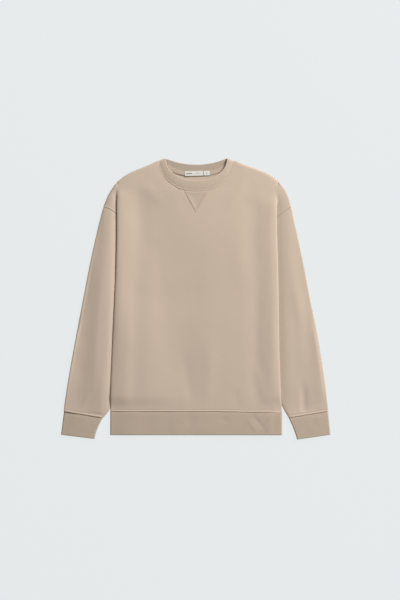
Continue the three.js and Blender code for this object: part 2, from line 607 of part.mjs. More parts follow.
add("front_panel", frontPanel(), jersey);
add("back_panel", backPanel(), jersey);
for (const side of SIDES) {
  add(`sleeve_${side.name}`, sleeve(side), jersey);
  add(`cuff_${side.name}`, cuff(side), ribKnit);
}
add("hem_rib_front", hemStrip(HEM_FRONT), ribKnit);
add("hem_rib_back", hemStrip(HEM_BACK), ribKnit);
add("neck_rib", neckRib(), ribKnit);
add("neck_triangle", neckTriangle(), jersey);
add("neck_tape", neckTape(), tapeCloth);
for (const { name, x, y, wide, tall } of LABELS) {
  const plate = add(name, new THREE.BoxGeometry(wide, tall, LABEL), labelCloth);
  plate.position.set(x, y, LABEL_Z);
  plate.rotation.z = LABEL_TURN;
}

export default sweatshirt;
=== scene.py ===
"""A crewneck sweatshirt laid flat, front side up, on a pale floor.

Sizes in the tables and fields are millimetres, and what is built is in metres. +X is the wearer's
left, +Y the neck and +Z up, out of the front.
"""

import logging
import math
from dataclasses import dataclass, field
from enum import Enum
from typing import Iterable, Sequence, TypeVar

import bmesh
import bpy
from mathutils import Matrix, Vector, noise


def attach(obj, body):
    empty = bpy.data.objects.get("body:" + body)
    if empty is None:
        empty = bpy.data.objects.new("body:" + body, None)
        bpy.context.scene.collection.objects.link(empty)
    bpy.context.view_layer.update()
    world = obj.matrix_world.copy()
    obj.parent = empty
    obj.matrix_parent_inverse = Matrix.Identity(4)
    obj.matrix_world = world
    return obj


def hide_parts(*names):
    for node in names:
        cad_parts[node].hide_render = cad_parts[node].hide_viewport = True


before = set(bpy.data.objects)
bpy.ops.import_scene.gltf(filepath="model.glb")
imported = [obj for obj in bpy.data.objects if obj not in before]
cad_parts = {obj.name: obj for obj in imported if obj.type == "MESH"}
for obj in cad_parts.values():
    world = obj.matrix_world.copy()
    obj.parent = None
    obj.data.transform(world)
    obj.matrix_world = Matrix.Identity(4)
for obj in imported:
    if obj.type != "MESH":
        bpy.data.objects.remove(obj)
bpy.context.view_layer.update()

log = logging.getLogger("sweatshirt")
MM = 0.001
CLOTH = 1.6  # wall of the brushed jersey
RIB = 2.4  # wall of the doubled rib
PATCH = 1.3  # wall of the neck triangle
TAPE = 1.0
LABEL = 0.6
BACK_Z = CLOTH / 2  # middle of the back's wall
EDGE_Z = 4.25  # middle of the front's wall where it meets the back
SHOULDER_Z = 7.4  # middle of the front's wall on the shoulders
SIDE_REACH = 46  # how far inward a side's section goes
SEAM_GAP = 0.15  # how far two cloths stay apart at a seam
SEAM_DROP = 2.4  # how much lower the hem's seam runs on the wearer's left
STITCH_GAP = 4.7  # from the collar's seam to its outer row of stitches
RING_GAP = 2.5  # how far apart a rib band's rings lie on the flat cloth
HALF_ROUND = (45, 90, 135)  # the angles of the points round a fold

Row = list[tuple[Vector, float, float]]
Inputs = dict[str | int, object]
Spot = TypeVar("Spot", float, Vector)


class Wearer(Enum):
    """The two sides of the garment, by the direction of X."""

    RIGHT = -1
    LEFT = 1


def mix(a: float, b: float, t: float) -> float:
    """Go from a to b as t goes from 0 to 1."""
    return a + (b - a) * t


def smooth(t: float) -> float:
    """Ease from 0 to 1."""
    t = min(1.0, max(0.0, t))
    return t * t * (3 - 2 * t)


def steps(start: float, end: float, count: int) -> list[float]:
    """Split a stretch evenly.

    Args:
        start: where it starts.
        end: where it ends.
        count: how many values it gives, both ends among them.

    Returns:
        The values.
    """
    return [mix(start, end, i / (count - 1)) for i in range(count)]


def between(a: Spot, b: Spot, c: Spot, d: Spot, t: float) -> Spot:
    """Go from b to c along a rounded line through four points, as t goes from 0 to 1."""
    return b + 0.5 * t * (c - a + t * (2 * a - 5 * b + 4 * c - d + t * (3 * (b - c) + d - a)))


class Curve:
    """A smooth line through the rows of a table, which never overshoots them."""

    def __init__(self, rows: Iterable[tuple[float, float]]) -> None:
        """Keep the rows in order and work out a slope at each.

        Args:
            rows: places, each with the value there.
        """
        self.rows = sorted(rows)
        xs, ys = zip(*self.rows)
        gaps = [(b[1] - a[1]) / (b[0] - a[0]) for a, b in zip(self.rows, self.rows[1:])]
        self.xs, self.ys, self.slopes = xs, ys, [gaps[0]]
        for a, b in zip(gaps, gaps[1:]):
            self.slopes.append(0.0 if a * b <= 0 else 2 * a * b / (a + b))
        self.slopes.append(gaps[-1])

    def at(self, place: float) -> float:
        """Read the line at a place; it stays level beyond its ends.

        Args:
            place: the place.

        Returns:
            The value there.
        """
        if place <= self.xs[0]:
            return self.ys[0]
        if place >= self.xs[-1]:
            return self.ys[-1]
        i = next(k for k in range(1, len(self.xs)) if place <= self.xs[k])
        wide = self.xs[i] - self.xs[i - 1]
        t = (place - self.xs[i - 1]) / wide
        start, end = self.slopes[i - 1] * wide, self.slopes[i] * wide
        rise = self.ys[i] - self.ys[i - 1]
        bend = start + end - 2 * rise
        return self.ys[i - 1] + t * (start + t * (rise - start - bend + t * bend))


class Profile:
    """The stretch of cloth beside an edge, as points (inward from the edge, height)."""

    def __init__(self, points: Sequence[tuple[float, float]]) -> None:
        """Keep the points, from the inside to the seam."""
        self.points = points

    def at(self, step: float) -> tuple[float, float]:
        """Read the point at a step from 0 to 9, along a rounded line through the points.

        Args:
            step: the step, which is whole at each point.

        Returns:
            The distance inward and the height.
        """
        i = min(int(step), len(self.points) - 2)
        rows = [self.points[max(0, min(len(self.points) - 1, i + k))] for k in (-1, 0, 1, 2)]
        inward, z = (between(*values, step - i) for values in zip(*rows))
        return inward, z


@dataclass(frozen=True)
class Crease:
    """A soft ridge, or a trough where high is negative, between two points."""

    x1: float
    y1: float
    x2: float
    y2: float
    wide: float
    high: float
    bow: float = 0.0
    far: float = 0.0

    def height(self, x: float, y: float) -> float:
        """Give its height at a point of the garment.

        Args:
            x: the place along X.
            y: the place along Y.

        Returns:
            The height, which fades out past both ends.
        """
        dx, dy = self.x2 - self.x1, self.y2 - self.y1
        long = math.hypot(dx, dy)
        t = ((x - self.x1) * dx + (y - self.y1) * dy) / long**2
        if t < -0.3 or t > 1.3:
            return 0.0
        across = ((x - self.x1) * dy - (y - self.y1) * dx) / long
        across -= self.bow * 4 * t * (1 - t)
        ends = smooth((t + 0.3) / 0.6) * smooth((1.3 - t) / 0.6)
        wide = self.far if self.far and across < 0 else self.wide
        return self.high * math.exp(-((across / wide) ** 2)) * ends


# Soft folds, from one point to another, then the width and height of each
FRONT_CREASES = (
    Crease(-188, 60, -176, -250, 26, 1.0, 4),
    Crease(-140, 244, -92, 120, 44, -3.0, 4, 66),
    Crease(-92, 120, -72, -28, 46, -4.2, -3, 90),
    Crease(-72, -28, -40, -214, 48, -3.3, 4, 56),
    Crease(187, 240, 189, -30, 12, 0.5, 2),
    Crease(189, -30, 184, -264, 14, 0.9, -3),
    Crease(160, 60, 150, -262, 14, -0.6, 4),
    Crease(34, -118, 22, -262, 18, 1.2, -3),
    Crease(-30, -146, -12, -262, 15, -0.8),
    Crease(2, 150, -8, -50, 30, -0.6),
    Crease(92, 236, 122, 40, 26, 0.5, 5),
    Crease(-128, 284, -88, 238, 14, 0.7),
    Crease(120, 290, 86, 232, 14, 0.8),
    Crease(150, -170, 172, -268, 10, 0.8),
    Crease(-40, -236, -46, -276, 8, -0.5),
    Crease(96, -232, 104, -276, 8, -0.6),
)
SLEEVE_CREASES = {
    Wearer.RIGHT: (
        Crease(-220, 190, -234, 0, 16, 1.2, -3),
        Crease(-232, 60, -248, -268, 20, 3.4, 4, 60),
        Crease(-244, 180, -276, 30, 12, -0.8, -4),
        Crease(-270, 40, -292, -153, 22, -2.3, 3),
        Crease(-292, -153, -303, -266, 20, -2.0, -2),
        Crease(-236, -190, -240, -286, 7, 0.8),
        Crease(-268, -240, -284, -274, 6, 0.8),
    ),
    Wearer.LEFT: (
        Crease(232, 180, 256, -30, 14, 0.7, 4),
        Crease(250, 20, 262, -190, 13, 0.9, -4),
        Crease(296, -60, 312, -262, 15, 1.7, -3),
        Crease(258, -80, 268, -262, 16, -0.8),
        Crease(268, -224, 271, -292, 8, -1.7),
        Crease(240, -150, 246, -280, 20, -0.7, 0, 30),
    ),
}
HEM_CREASES = (
    Crease(128, -300, 150, -330, 5, 0.6),
    Crease(142, -292, 170, -328, 5, -0.6),
    Crease(184, -290, 180, -338, 10, 0.7),
    Crease(-18, -288, -14, -318, 12, -0.6),
    Crease(-60, -296, -52, -338, 9, 0.3),
    Crease(60, -300, 84, -306, 6, -0.4),
)


def seam_drop(x: float, y: float) -> float:
    """Give how far the hem's seam runs lower toward the wearer's left."""
    near = smooth((y + 318) / 30) * smooth((-256 - y) / 24)
    return SEAM_DROP * smooth((x - 20) / 180) * near


def ripple(x: float, y: float, seed: float) -> float:
    """Give the small unevenness of cloth that was smoothed by hand.

    Args:
        x: the place along X.
        y: the place along Y.
        seed: which cloth it is.

    Returns:
        A small rise or fall.
    """
    wide = noise.noise(Vector((x / 70, y / 110, seed)))
    fine = noise.noise(Vector((x / 24, y / 34, seed + 7)))
    return 0.55 * wide + 0.13 * fine


@dataclass(frozen=True)
class Cut:
    """The lines of one side of the garment, as half widths at heights.

    The body is folded over below fold_top, fully so after fold_ramp. Its fold tucks the dropped
    shoulder under at tuck_y, and the shoulder's outer edge is sewn shut above shoulder_y. Where a
    cuff starts and ends, its inner corner comes before its outer one.
    """

    side: Wearer
    fold_top: float
    fold_ramp: float
    tuck_y: float
    shoulder_y: float
    body: tuple[tuple[float, float], ...]
    shoulder: tuple[tuple[float, float], ...]
    sleeve: tuple[tuple[float, float], ...]
    armhole: tuple[tuple[float, float], ...]
    inner: tuple[tuple[float, float], ...]
    cuff_top: tuple[float, float, float, float]
    cuff_end: tuple[float, float, float, float]
    cuff_bow: float
    swell: float
    roll: float
    rise: tuple[tuple[float, float], ...]

    @property
    def sign(self) -> int:
        """Direction of X on this side."""
        return self.side.value

    def folded(self, y: float, late: float = 0.0) -> float:
        """Give how far the body's side is folded over at a height."""
        return smooth((self.fold_top - late - y) / self.fold_ramp)

    @property
    def cap_top(self) -> float:
        """Height at which the shoulder's fold ends."""
        return self.shoulder[-1][0]

    @property
    def word(self) -> str:
        """Name of this side, in the names of its pieces."""
        return self.side.name.lower()


RIGHT_CUT = Cut(
    side=Wearer.RIGHT,
    fold_top=278,
    fold_ramp=26,
    tuck_y=205,
    shoulder_y=229,
    body=(
        (-345, 214.4), (-282, 214.4), (-253, 214.2), (-203, 212.6), (-103, 208.2), (-3, 203.6),
        (97, 199.6), (172, 198.2), (259, 198.6), (290, 198), (298, 189.4), (305.5, 180.2),
        (313, 167.4), (320.5, 151.2), (328, 132.6), (335.5, 114.4), (343, 98.6), (347, 90),
    ),
    shoulder=(
        (205, 238.4), (229, 231.8), (237, 228.8), (245, 225.6), (253, 222.2), (261, 218.4),
        (269, 213.8), (276, 209.2), (283, 203.9), (290, 198),
    ),
    sleeve=(
        (-281, 331.2), (-271, 330), (-231, 324.2), (-151, 310.7), (-71, 295.8), (9, 280.6),
        (89, 265), (169, 247.2), (205, 238.4), (229, 231.8),
    ),
    armhole=(
        (22, 193.2), (84, 191.5), (205, 190.5), (209, 194.5), (213, 199.8), (219, 208),
        (224, 216), (227.5, 224.5), (229, 231.7),
    ),
    inner=(
        (-298, 236.6), (-291, 230.2), (-284, 224.4), (-278, 220), (-270, 216.2), (-262, 213.4),
        (-246, 210), (-228, 207.6), (-200, 205.6),
    ),
    cuff_top=(234.6, -297.6, 330, -281.4),
    cuff_end=(255.2, -349.8, 337.4, -339.8),
    cuff_bow=3.0,
    swell=4.6,
    roll=34,
    rise=(
        (-12, 3.4), (-5, 3.5), (0, 3.9), (4, 5.4), (8, 6.8), (13, 7.8), (20, 8.2), (44, 8.4),
        (60, 8.5),
    ),
)
LEFT_CUT = Cut(
    side=Wearer.LEFT,
    fold_top=268,
    fold_ramp=40,
    tuck_y=198,
    shoulder_y=230,
    body=(
        (-345, 213.6), (-282, 213.6), (-253, 211.8), (-203, 209.6), (-103, 206.6), (-3, 205.4),
        (97, 203.4), (172, 201.2), (259, 201.6), (292, 205.4), (299, 198.8), (305.5, 190.8),
        (313, 177.2), (320.5, 160), (328, 139.8), (335.5, 119), (343, 101.6), (347, 90),
    ),
    shoulder=(
        (198, 243.6), (230, 237), (237, 235.2), (245, 233), (253, 230.2), (261, 227),
        (269, 223), (276, 218.6), (284, 212.8), (292, 205.4),
    ),
    sleeve=(
        (-281, 330), (-271, 328.7), (-231, 324), (-191, 318.8), (-151, 312.8), (-111, 306.4),
        (-71, 299), (9, 282.6), (89, 267.6), (169, 250.4), (198, 243.6), (230, 237),
    ),
    armhole=(
        (22, 194), (84, 192), (198, 191), (202, 197), (206, 203), (211, 210), (218, 219),
        (225, 228.6), (230, 236.9),
    ),
    inner=(
        (-298, 234.2), (-291, 229.8), (-284, 225.6), (-276, 221), (-268, 216.6), (-260, 212.8),
        (-250, 209.6), (-238, 207), (-220, 205), (-200, 203.4),
    ),
    cuff_top=(231.8, -297.6, 329, -282),
    cuff_end=(253, -351.4, 334.6, -339.4),
    cuff_bow=1.6,
    swell=1.4,
    roll=1.8,
    rise=((-12, 3.4), (-5, 3.5), (0, 3.9), (7, 5.3), (16, 6.9), (28, 7.7), (60, 7.9)),
)
CUTS = (RIGHT_CUT, LEFT_CUT)

HEM_TOP_Y = -282.0  # the hem's seam
HEM_END_Y = -341.6
PANEL_END_Y = HEM_TOP_Y + SEAM_GAP
PANEL_TURNED = [cut.side is Wearer.LEFT for cut in CUTS]  # whose faces are turned over
HEM_REACH = 57.0  # how far above its seam the hem begins to flatten the sides
SIDE_SEAM_Y = 4.0  # the top of the side seam, at the armhole
SPLIT_Y = 14.0  # above it the sleeve is sewn to the body
SEAM_BAND = 3.4  # how wide the band is that a seam's allowance presses up
LEAST_ROLL = 1.8  # the sharpest that an outer edge rounds over
CUFF_FAN_Y = -228.0  # below this height the sleeve's rows turn toward the cuff's slope
CUFF_SEAM_IN_Y = -297.4
CUFF_SEAM_OUT_Y = -281.4
OVER_FOLD = (
    (SIDE_REACH, 6.6), (30, 8.6), (16, 10.1), (7, 10.4), (2.1, 9.7), (0, 8.3), (1.7, 7), (6, 6.5),
)


class Sections:
    """How the panels' sides run in section, at each stretch of their height."""

    folded = Profile((*OVER_FOLD, (9, 6.5), (10.5, 6.4)))
    tucked = Profile((*OVER_FOLD, (9.9, 6.3), (11.3, 4.8)))
    side_seam = Profile((*OVER_FOLD, (9.2, 6), (11.6, 4.95)))
    stepped = Profile(
        ((SIDE_REACH, 7), (30, 8.4), (17, 9.6), (8, 9.9), (3.6, 9.4), (1.4, 8.4), (0.2, 7.2),
         (-0.9, 6.1), (-2.3, 5), (-4.4, 4.3))
    )
    hem = Profile(
        ((SIDE_REACH, 5.8), (30, 5.9), (16, 5.9), (7, 5.9), (2.3, 5.8), (0.8, 5.3), (0.2, 4.8),
         (0, 4.3), (0, 3.95), (0, 3.6))
    )
    level = Profile(
        [(inward, SHOULDER_Z) for inward in (SIDE_REACH, 30, 18, 11, 7, 4.6, 3, 1.8, 0.8, 0)]
    )
    over = Profile(
        ((SIDE_REACH, SHOULDER_Z), (30, SHOULDER_Z), (18, SHOULDER_Z), (11, 7.2), (7, 6.9),
         (4, 6.5), (2.4, 6.1), (1.2, 5.6), (0, 5), (0, 4.4))
    )
    back_side = Profile(((24, 0.8), (18, 0.8), (14, 1), (12.1, 2.2), (11.5, 3.75)))
    back_hem = Profile(((12, 0.8), (5, 0.85), (2, 1.4), (0, 2.6), (0, 3.3)))
    back_edge = Profile(((12, 0.8), (5, 0.85), (1.9, 1.5), (0, 3.1), (0, 4.1)))


# The height of the front along its middle and its neck seam
MIDDLE = Curve(
    ((-282, 7.4), (-230, 7.2), (0, 6.9), (150, 6.5), (230, 6.4), (272.5, 6.6), (312, 6.9),
     (328, 6.7), (340, 6.2), (346, 5.2))
)
# The collar's free edge and its seam, from the middle of the front over the shoulder to the back
NECK_FREE = (
    (0, 296, 9), (17, 297, 9), (34, 301, 9), (50, 309, 8.9), (63.5, 319, 8.8),
    (71.5, 330, 8.6), (75, 340, 8.2), (76.6, 347.5, 7.4), (77, 350, 5.6), (75, 349.8, 3),
    (69.5, 348.2, 1.4), (60, 345, 1.2), (46, 340.9, 1.2), (31, 338, 1.2), (15, 336, 1.2),
    (0, 335.5, 1.2),
)
NECK_SEAM = (
    (0, 272.5, 6.6), (21, 273.5, 6.6), (37, 277, 6.7), (53, 285, 6.8), (69, 297, 6.9),
    (81, 312, 6.9), (88, 328, 6.7), (91.4, 340, 6.2), (92.4, 344.4, 4.6), (91, 343, 2.3),
    (86.5, 339, 1.2), (74, 331, 1.2), (58, 322, 1.2), (40, 316, 1.2), (20, 312.8, 1.2),
    (0, 312, 1.2),
)
NECK_TURN = 8  # the point of both lines that lies on the shoulder


def neck_start(rows: Sequence[tuple[float, float, float]]) -> Curve:
    """Make the half width of the neck seam, by height, from part of its points."""
    return Curve([(y, x) for x, y, _ in rows])


FRONT_NECK = neck_start(NECK_SEAM[: NECK_TURN + 1])
BACK_NECK = neck_start(NECK_SEAM[NECK_TURN:])
NECK_FRONT_Y = NECK_SEAM[0][1]
NECK_BACK_Y = NECK_SEAM[-1][1]


def blend(pairs: Sequence[tuple[Profile, float]], step: float) -> tuple[float, float]:
    """Go through several profiles in turn.

    Args:
        pairs: each profile, and how far it takes over from those before it.
        step: the step along them.

    Returns:
        The distance inward and the height.
    """
    inward, z = 0.0, 0.0
    for profile, share in pairs:
        a, b = profile.at(step)
        inward, z = mix(inward, a, share), mix(z, b, share)
    return inward, z


class FrontShape:
    """The middle surface of the front panel on one side, row by row."""

    def __init__(self, cut: Cut) -> None:
        """Read the side's lines.

        Args:
            cut: the side.
        """
        self.cut = cut
        self.recess = 1.0
        self.body = Curve(cut.body)
        self.shoulder = Curve(cut.shoulder)
        self.armhole = Curve(cut.armhole)
        self.rise = Curve(cut.rise)

    def stretch(self, y: float, step: float) -> tuple[float, float]:
        """Give the side stretch of the front at a height.

        Args:
            y: the height.
            step: the step along the stretch, from 0 inside to 9 at the seam.

        Returns:
            The distance inward and the height of the cloth.
        """
        seam = Sections.side_seam if y <= SIDE_SEAM_Y else Sections.folded
        if y >= self.cut.tuck_y:
            seam = Sections.tucked
        hem = smooth((HEM_TOP_Y + HEM_REACH - y) / 40)
        if step < 5.5:
            hem = mix(smooth((HEM_TOP_Y + 40 - y) / 34), hem, smooth(step - 4.5))
        inward, z = blend(
            (
                (Sections.level, 1),
                (Sections.over, smooth(1 + (y - self.cut.cap_top) / 12)),
                (Sections.stepped, self.cut.folded(y)),
                (seam, self.cut.folded(y, 18)),
                (Sections.hem, hem),
            ),
            step,
        )
        if step < 5:
            height = self.cut.swell * smooth((150 - y) / 130 + self.cut.sign)
            reach = SIDE_REACH
            if self.cut.side is Wearer.LEFT:
                reach = mix(SIDE_REACH, 20, hem)
            z += mix(height, 1.7, hem) * smooth(inward / reach) * self.cut.folded(y)
        return inward, z

    def relief(self, x: float, y: float) -> float:
        """Give the folds, ripples and pressed seam bands of the front.

        Args:
            x: the place along X.
            y: the place along Y.

        Returns:
            How far the cloth rises there.
        """
        z = sum(crease.height(x, y) for crease in FRONT_CREASES) + ripple(x, y, 3)
        z *= smooth((y - HEM_TOP_Y - 4) / 50) * 0.75 + 0.25
        around = math.hypot(x, (y - 345) * 1.25)
        z *= 0.15 + 0.85 * smooth((around - 96) / 45)
        far = y - HEM_TOP_Y - SEAM_BAND - 0.7 * noise.noise(Vector((x / 50, 0, 2)))
        z += 1.1 * smooth(-far / 1.3) - 0.4 * math.exp(-(((far - 0.6) / 1.3) ** 2))
        if y > 205 and abs(x) < 112:
            z += self.neck_seam(x, y) + self.recess * self.triangle_seam(x, y)
        return z

    @staticmethod
    def neck_seam(x: float, y: float) -> float:
        """Give the pressed band and the groove of the topstitching round the collar.

        Args:
            x: the place along X.
            y: the place along Y.

        Returns:
            How far the cloth rises there.
        """
        if y < 250:
            return 0.0
        away = line_gap(NECK_LINE, abs(x), y)
        band = smooth((STITCH_GAP - away) / 1.2) - smooth((1.6 - away) / 1.6)
        groove = math.exp(-(((away - STITCH_GAP) / 0.9) ** 2))
        clear = (0.2 + 0.8 * smooth((308 - y) / 16)) * mix(1.0, 0.5, smooth((x + 20) / 40))
        return (0.45 * band - 0.75 * groove) * clear

    @staticmethod
    def triangle_seam(x: float, y: float) -> float:
        """Give the bed of the neck triangle and the groove and rim round it.

        Args:
            x: the place along X.
            y: the place along Y.

        Returns:
            How far the cloth rises there.
        """
        inside = NeckTriangle.inside(x, y)
        bed = -2.2 * smooth((inside - 0.5) / 5)
        groove = -0.3 * math.exp(-(((inside + 0.6) / 0.8) ** 2))
        rim = 0.15 * math.exp(-(((inside + 2.6) / 1.1) ** 2))
        return bed + groove + rim

    def row(self, y: float) -> list[Vector]:
        """Give a row from the middle or the neck seam to the end of the side stretch.

        Args:
            y: the height.

        Returns:
            The points of the row.
        """
        ease = 0.15 * smooth((y - 320) / 15)
        start = 0.0 if y <= NECK_FRONT_Y else FRONT_NECK.at(y) + ease
        edge = self.body.at(y)
        squeeze = min(1.0, (edge - start) / (2 * SIDE_REACH))
        begin = self.stretch(y, 0)
        inner = edge - begin[0] * squeeze
        low = MIDDLE.at(y)
        line = []
        near = min(40.0, 0.5 * (inner - start))
        columns = [near * t for t in steps(0, 1, 31)[:-1]]
        columns += [mix(near, inner - start, t) for t in steps(0, 1, 23)[:-1]]
        after = self.stretch(y, 0.3)
        lean = (after[1] - begin[1]) / (begin[0] - after[0]) * smooth(squeeze)
        reach = min(48.0, 0.6 * (inner - start))
        for far in columns:
            t = far / (inner - start)
            z = mix(low, mix(low, begin[1], min(1.0, squeeze * 2)), smooth(t))
            u = max(0.0, 1 - (inner - start - far) / reach)
            line.append((start + far, z + lean * reach * (u**3 - u**2)))
        for step in steps(0, 9, 30):
            inward, z = self.stretch(y, step)
            if z > low:
                z = mix(low, z, min(1.0, squeeze * 2))
            inside = max(inward, 0)
            shift = inside / (1 + inside / SIDE_REACH * (1 / squeeze - 1)) + min(inward, 0)
            line.append((edge - shift, z))
        turned = max(range(len(line)), key=lambda i: line[i][0])
        points = []
        for i, (x, z) in enumerate(line):
            shown = smooth((edge + 1 - x) / 16) if i < turned else 0.0
            side = self.cut.sign * x
            lower = y - seam_drop(side, y)
            points.append(Vector((side, lower, z + self.relief(side, y) * shown)))
        return points

    def cap(self, y: float, last: Vector, count: int = 19) -> list[Vector]:
        """Give the dropped shoulder's part of a row, outside the fold.

        Args:
            y: the height.
            last: the end of the row so far.
            count: how many points it gives.

        Returns:
            The points, which all lie on the last one where there is no shoulder.
        """
        if y <= self.cut.tuck_y or y >= self.cut.cap_top:
            return [last.copy() for _ in range(count)]
        start = self.cut.sign * last.x
        edge = self.shoulder.at(y)
        open_edge = y >= self.cut.shoulder_y
        end = edge if open_edge else self.armhole.at(y) - SEAM_GAP
        fold = self.cut.folded(y)
        points = [last.copy()]
        for t in steps(0, 1, count - 1)[1:]:
            x = mix(start, end, 1 - (1 - t) ** 1.5)
            level = mix(SHOULDER_Z, self.rise.at(x - self.body.at(y)), fold)
            level = EDGE_Z + (level - EDGE_Z) * rounded(edge - x, self.roll(y))
            level += (last.z - level) * max(0.0, 1 - (x - start) / 1.6)
            side = self.cut.sign * x
            level += ripple(side, y, 3) * smooth((edge - x) / 12) * smooth((x - start) / 8) * 0.8
            level += 0.35 * self.seam_band(x, y)
            points.append(Vector((side, y, level)))
        end_z = EDGE_Z + SEAM_GAP if open_edge else points[-1].z
        points.append(Vector((self.cut.sign * end, y, end_z)))
        return points

    def roll(self, y: float) -> float:
        """Give how wide the outer edge rounds over at a height."""
        wide = self.shoulder.at(y) - self.body.at(y)
        return max(LEAST_ROLL, self.cut.roll * min(1.0, wide / 40))

    def seam_band(self, x: float, y: float) -> float:
        """Give the ridge along the armhole seam, where its allowance lies under the shoulder."""
        near = line_gap([(xa, ya) for ya, xa in self.armhole.rows], x, y)
        return smooth((4.6 - near) / 1.6) - 0.8 * math.exp(-(((near - 5) / 1.2) ** 2))

    def height(self, x: float, y: float) -> float:
        """Find the height of the front at a point, on this side or the other.

        Args:
            x: the place along X.
            y: the place along Y.

        Returns:
            The height of the cloth's middle surface.
        """
        row = self.row(y)
        far = abs(x)
        for a, b in zip(row, row[1:]):
            if abs(a.x) <= far <= abs(b.x):
                t = (far - abs(a.x)) / max(1e-6, abs(b.x) - abs(a.x))
                return mix(a.z, b.z, t)
        return row[0].z


def line_gap(line: Sequence[tuple[float, float]], x: float, y: float) -> float:
    """Find how far a point is from a line through points.

    Args:
        line: the line's points.
        x: the place along X.
        y: the place along Y.

    Returns:
        The shortest distance.
    """
    near = 1e9
    for (xa, ya), (xb, yb) in zip(line, line[1:]):
        dx, dy = xb - xa, yb - ya
        t = min(1.0, max(0.0, ((x - xa) * dx + (y - ya) * dy) / (dx * dx + dy * dy)))
        near = min(near, math.hypot(x - xa - t * dx, y - ya - t * dy))
    return near


def rounded(inward: float, width: float) -> float:
    """Give a quarter round from 0 at an edge to 1 at a distance inside it."""
    t = min(1.0, max(0.0, inward / width))
    return math.sqrt(1 - (1 - t) ** 2)


def measured(points: Sequence[Vector], v: float, start: float = 0.0) -> Row:
    """Give each point of a row its place on the flat cloth.

    Args:
        points: the row's points.
        v: its distance along the cloth.
        start: its first distance across the cloth.

    Returns:
        The points with both distances, in millimetres.
    """
    across, row = start, []
    for i, point in enumerate(points):
        across += (point - points[i - 1]).length if i else 0.0
        row.append((point, across, v))
    return row


def choose(piece: bpy.types.Object) -> None:
    """Select one object alone and make it active.

    Args:
        piece: the object.
    """
    bpy.ops.object.select_all(action="DESELECT")
    piece.select_set(True)
    bpy.context.view_layer.objects.active = piece


def placed(name: str, mesh: bmesh.types.BMesh) -> bpy.types.Object:
    """Make a piece of a mesh, link it and choose it.

    Args:
        name: the piece's name.
        mesh: the mesh, which is freed.

    Returns:
        The new object.
    """
    data = bpy.data.meshes.new(name)
    mesh.to_mesh(data)
    mesh.free()
    piece = bpy.data.objects.new(name, data)
    bpy.context.collection.objects.link(piece)
    choose(piece)
    return piece


def smooth_over(piece: bpy.types.Object, angle: float) -> None:
    """Shade the chosen piece smoothly where it bends gently, and keep it off the floor.

    Args:
        piece: the piece.
        angle: the sharpest edge that is smoothed, in degrees.
    """
    bpy.ops.object.shade_smooth_by_angle(angle=math.radians(angle))
    for vertex in piece.data.vertices:
        vertex.co.z = max(0.0, vertex.co.z)


def surface(
    name: str, patches: Sequence[Sequence[Row]], mirrored: Sequence[bool]
) -> bpy.types.Object:
    """Make a sheet with no thickness from grids of points, joined where they meet.

    Args:
        name: the piece's name.
        patches: grids of rows.
        mirrored: for each grid, whether its faces are turned over.

    Returns:
        The new object, with a UV map of the flat cloth in metres.
    """
    mesh = bmesh.new()
    layer = mesh.loops.layers.uv.new("cloth")
    for rows, turned in zip(patches, mirrored):
        grid = [[(mesh.verts.new(p * MM), (u * MM, v * MM)) for p, u, v in row] for row in rows]
        for upper, lower in zip(grid, grid[1:]):
            for i in range(1, len(upper)):
                corners = [upper[i - 1], upper[i], lower[i], lower[i - 1]]
                if turned:
                    corners.reverse()
                face = mesh.faces.new([vert for vert, _ in corners])
                for loop, (_, place) in zip(face.loops, corners):
                    loop[layer].uv = place
    bmesh.ops.remove_doubles(mesh, verts=mesh.verts, dist=2e-5)
    bmesh.ops.dissolve_degenerate(mesh, edges=mesh.edges, dist=1e-6)
    return placed(name, mesh)


def thicken(piece: bpy.types.Object, wall: float) -> None:
    """Give a sheet its wall, half to each side, and shade it smoothly.

    Args:
        piece: the sheet.
        wall: how thick it gets.
    """
    modifier = piece.modifiers.new("wall", "SOLIDIFY")
    modifier.thickness = wall * MM
    modifier.offset = 0
    choose(piece)
    bpy.ops.object.modifier_apply(modifier=modifier.name)
    smooth_over(piece, 50)


def band_section(
    left: float, right: float, middle: float, high: float, count: int, arch: float = 0.0
) -> list[Vector]:
    """Draw the section of a flattened ring of rib, with rounded ends.

    Args:
        left: its lowest X.
        right: its highest X.
        middle: the height of its middle.
        high: half its height.
        count: how many points each flat side has.
        arch: how far its upper side rises in the middle.

    Returns:
        The points, all round from the upper left.
    """
    start, end = left + high, right - high

    def turn(x: float, first: float, last: float) -> list[Vector]:
        """Round one end, between two angles.

        Args:
            x: the middle of the end's round.
            first: the first angle, in degrees.
            last: the last angle.

        Returns:
            The points of the round.
        """
        angles = [math.radians(angle) for angle in steps(first, last, 9)]
        return [Vector((x + high * math.cos(a), 0, middle + high * math.sin(a))) for a in angles]

    upper = [
        Vector((mix(start, end, t), 0, middle + high + arch * math.sin(math.pi * t)))
        for t in steps(0, 1, count)
    ]
    lower = [Vector((x, 0, middle - high)) for x in steps(end, start, count)]
    return [*upper, *turn(end, 80, -80), *lower, *turn(start, 260, 100)]


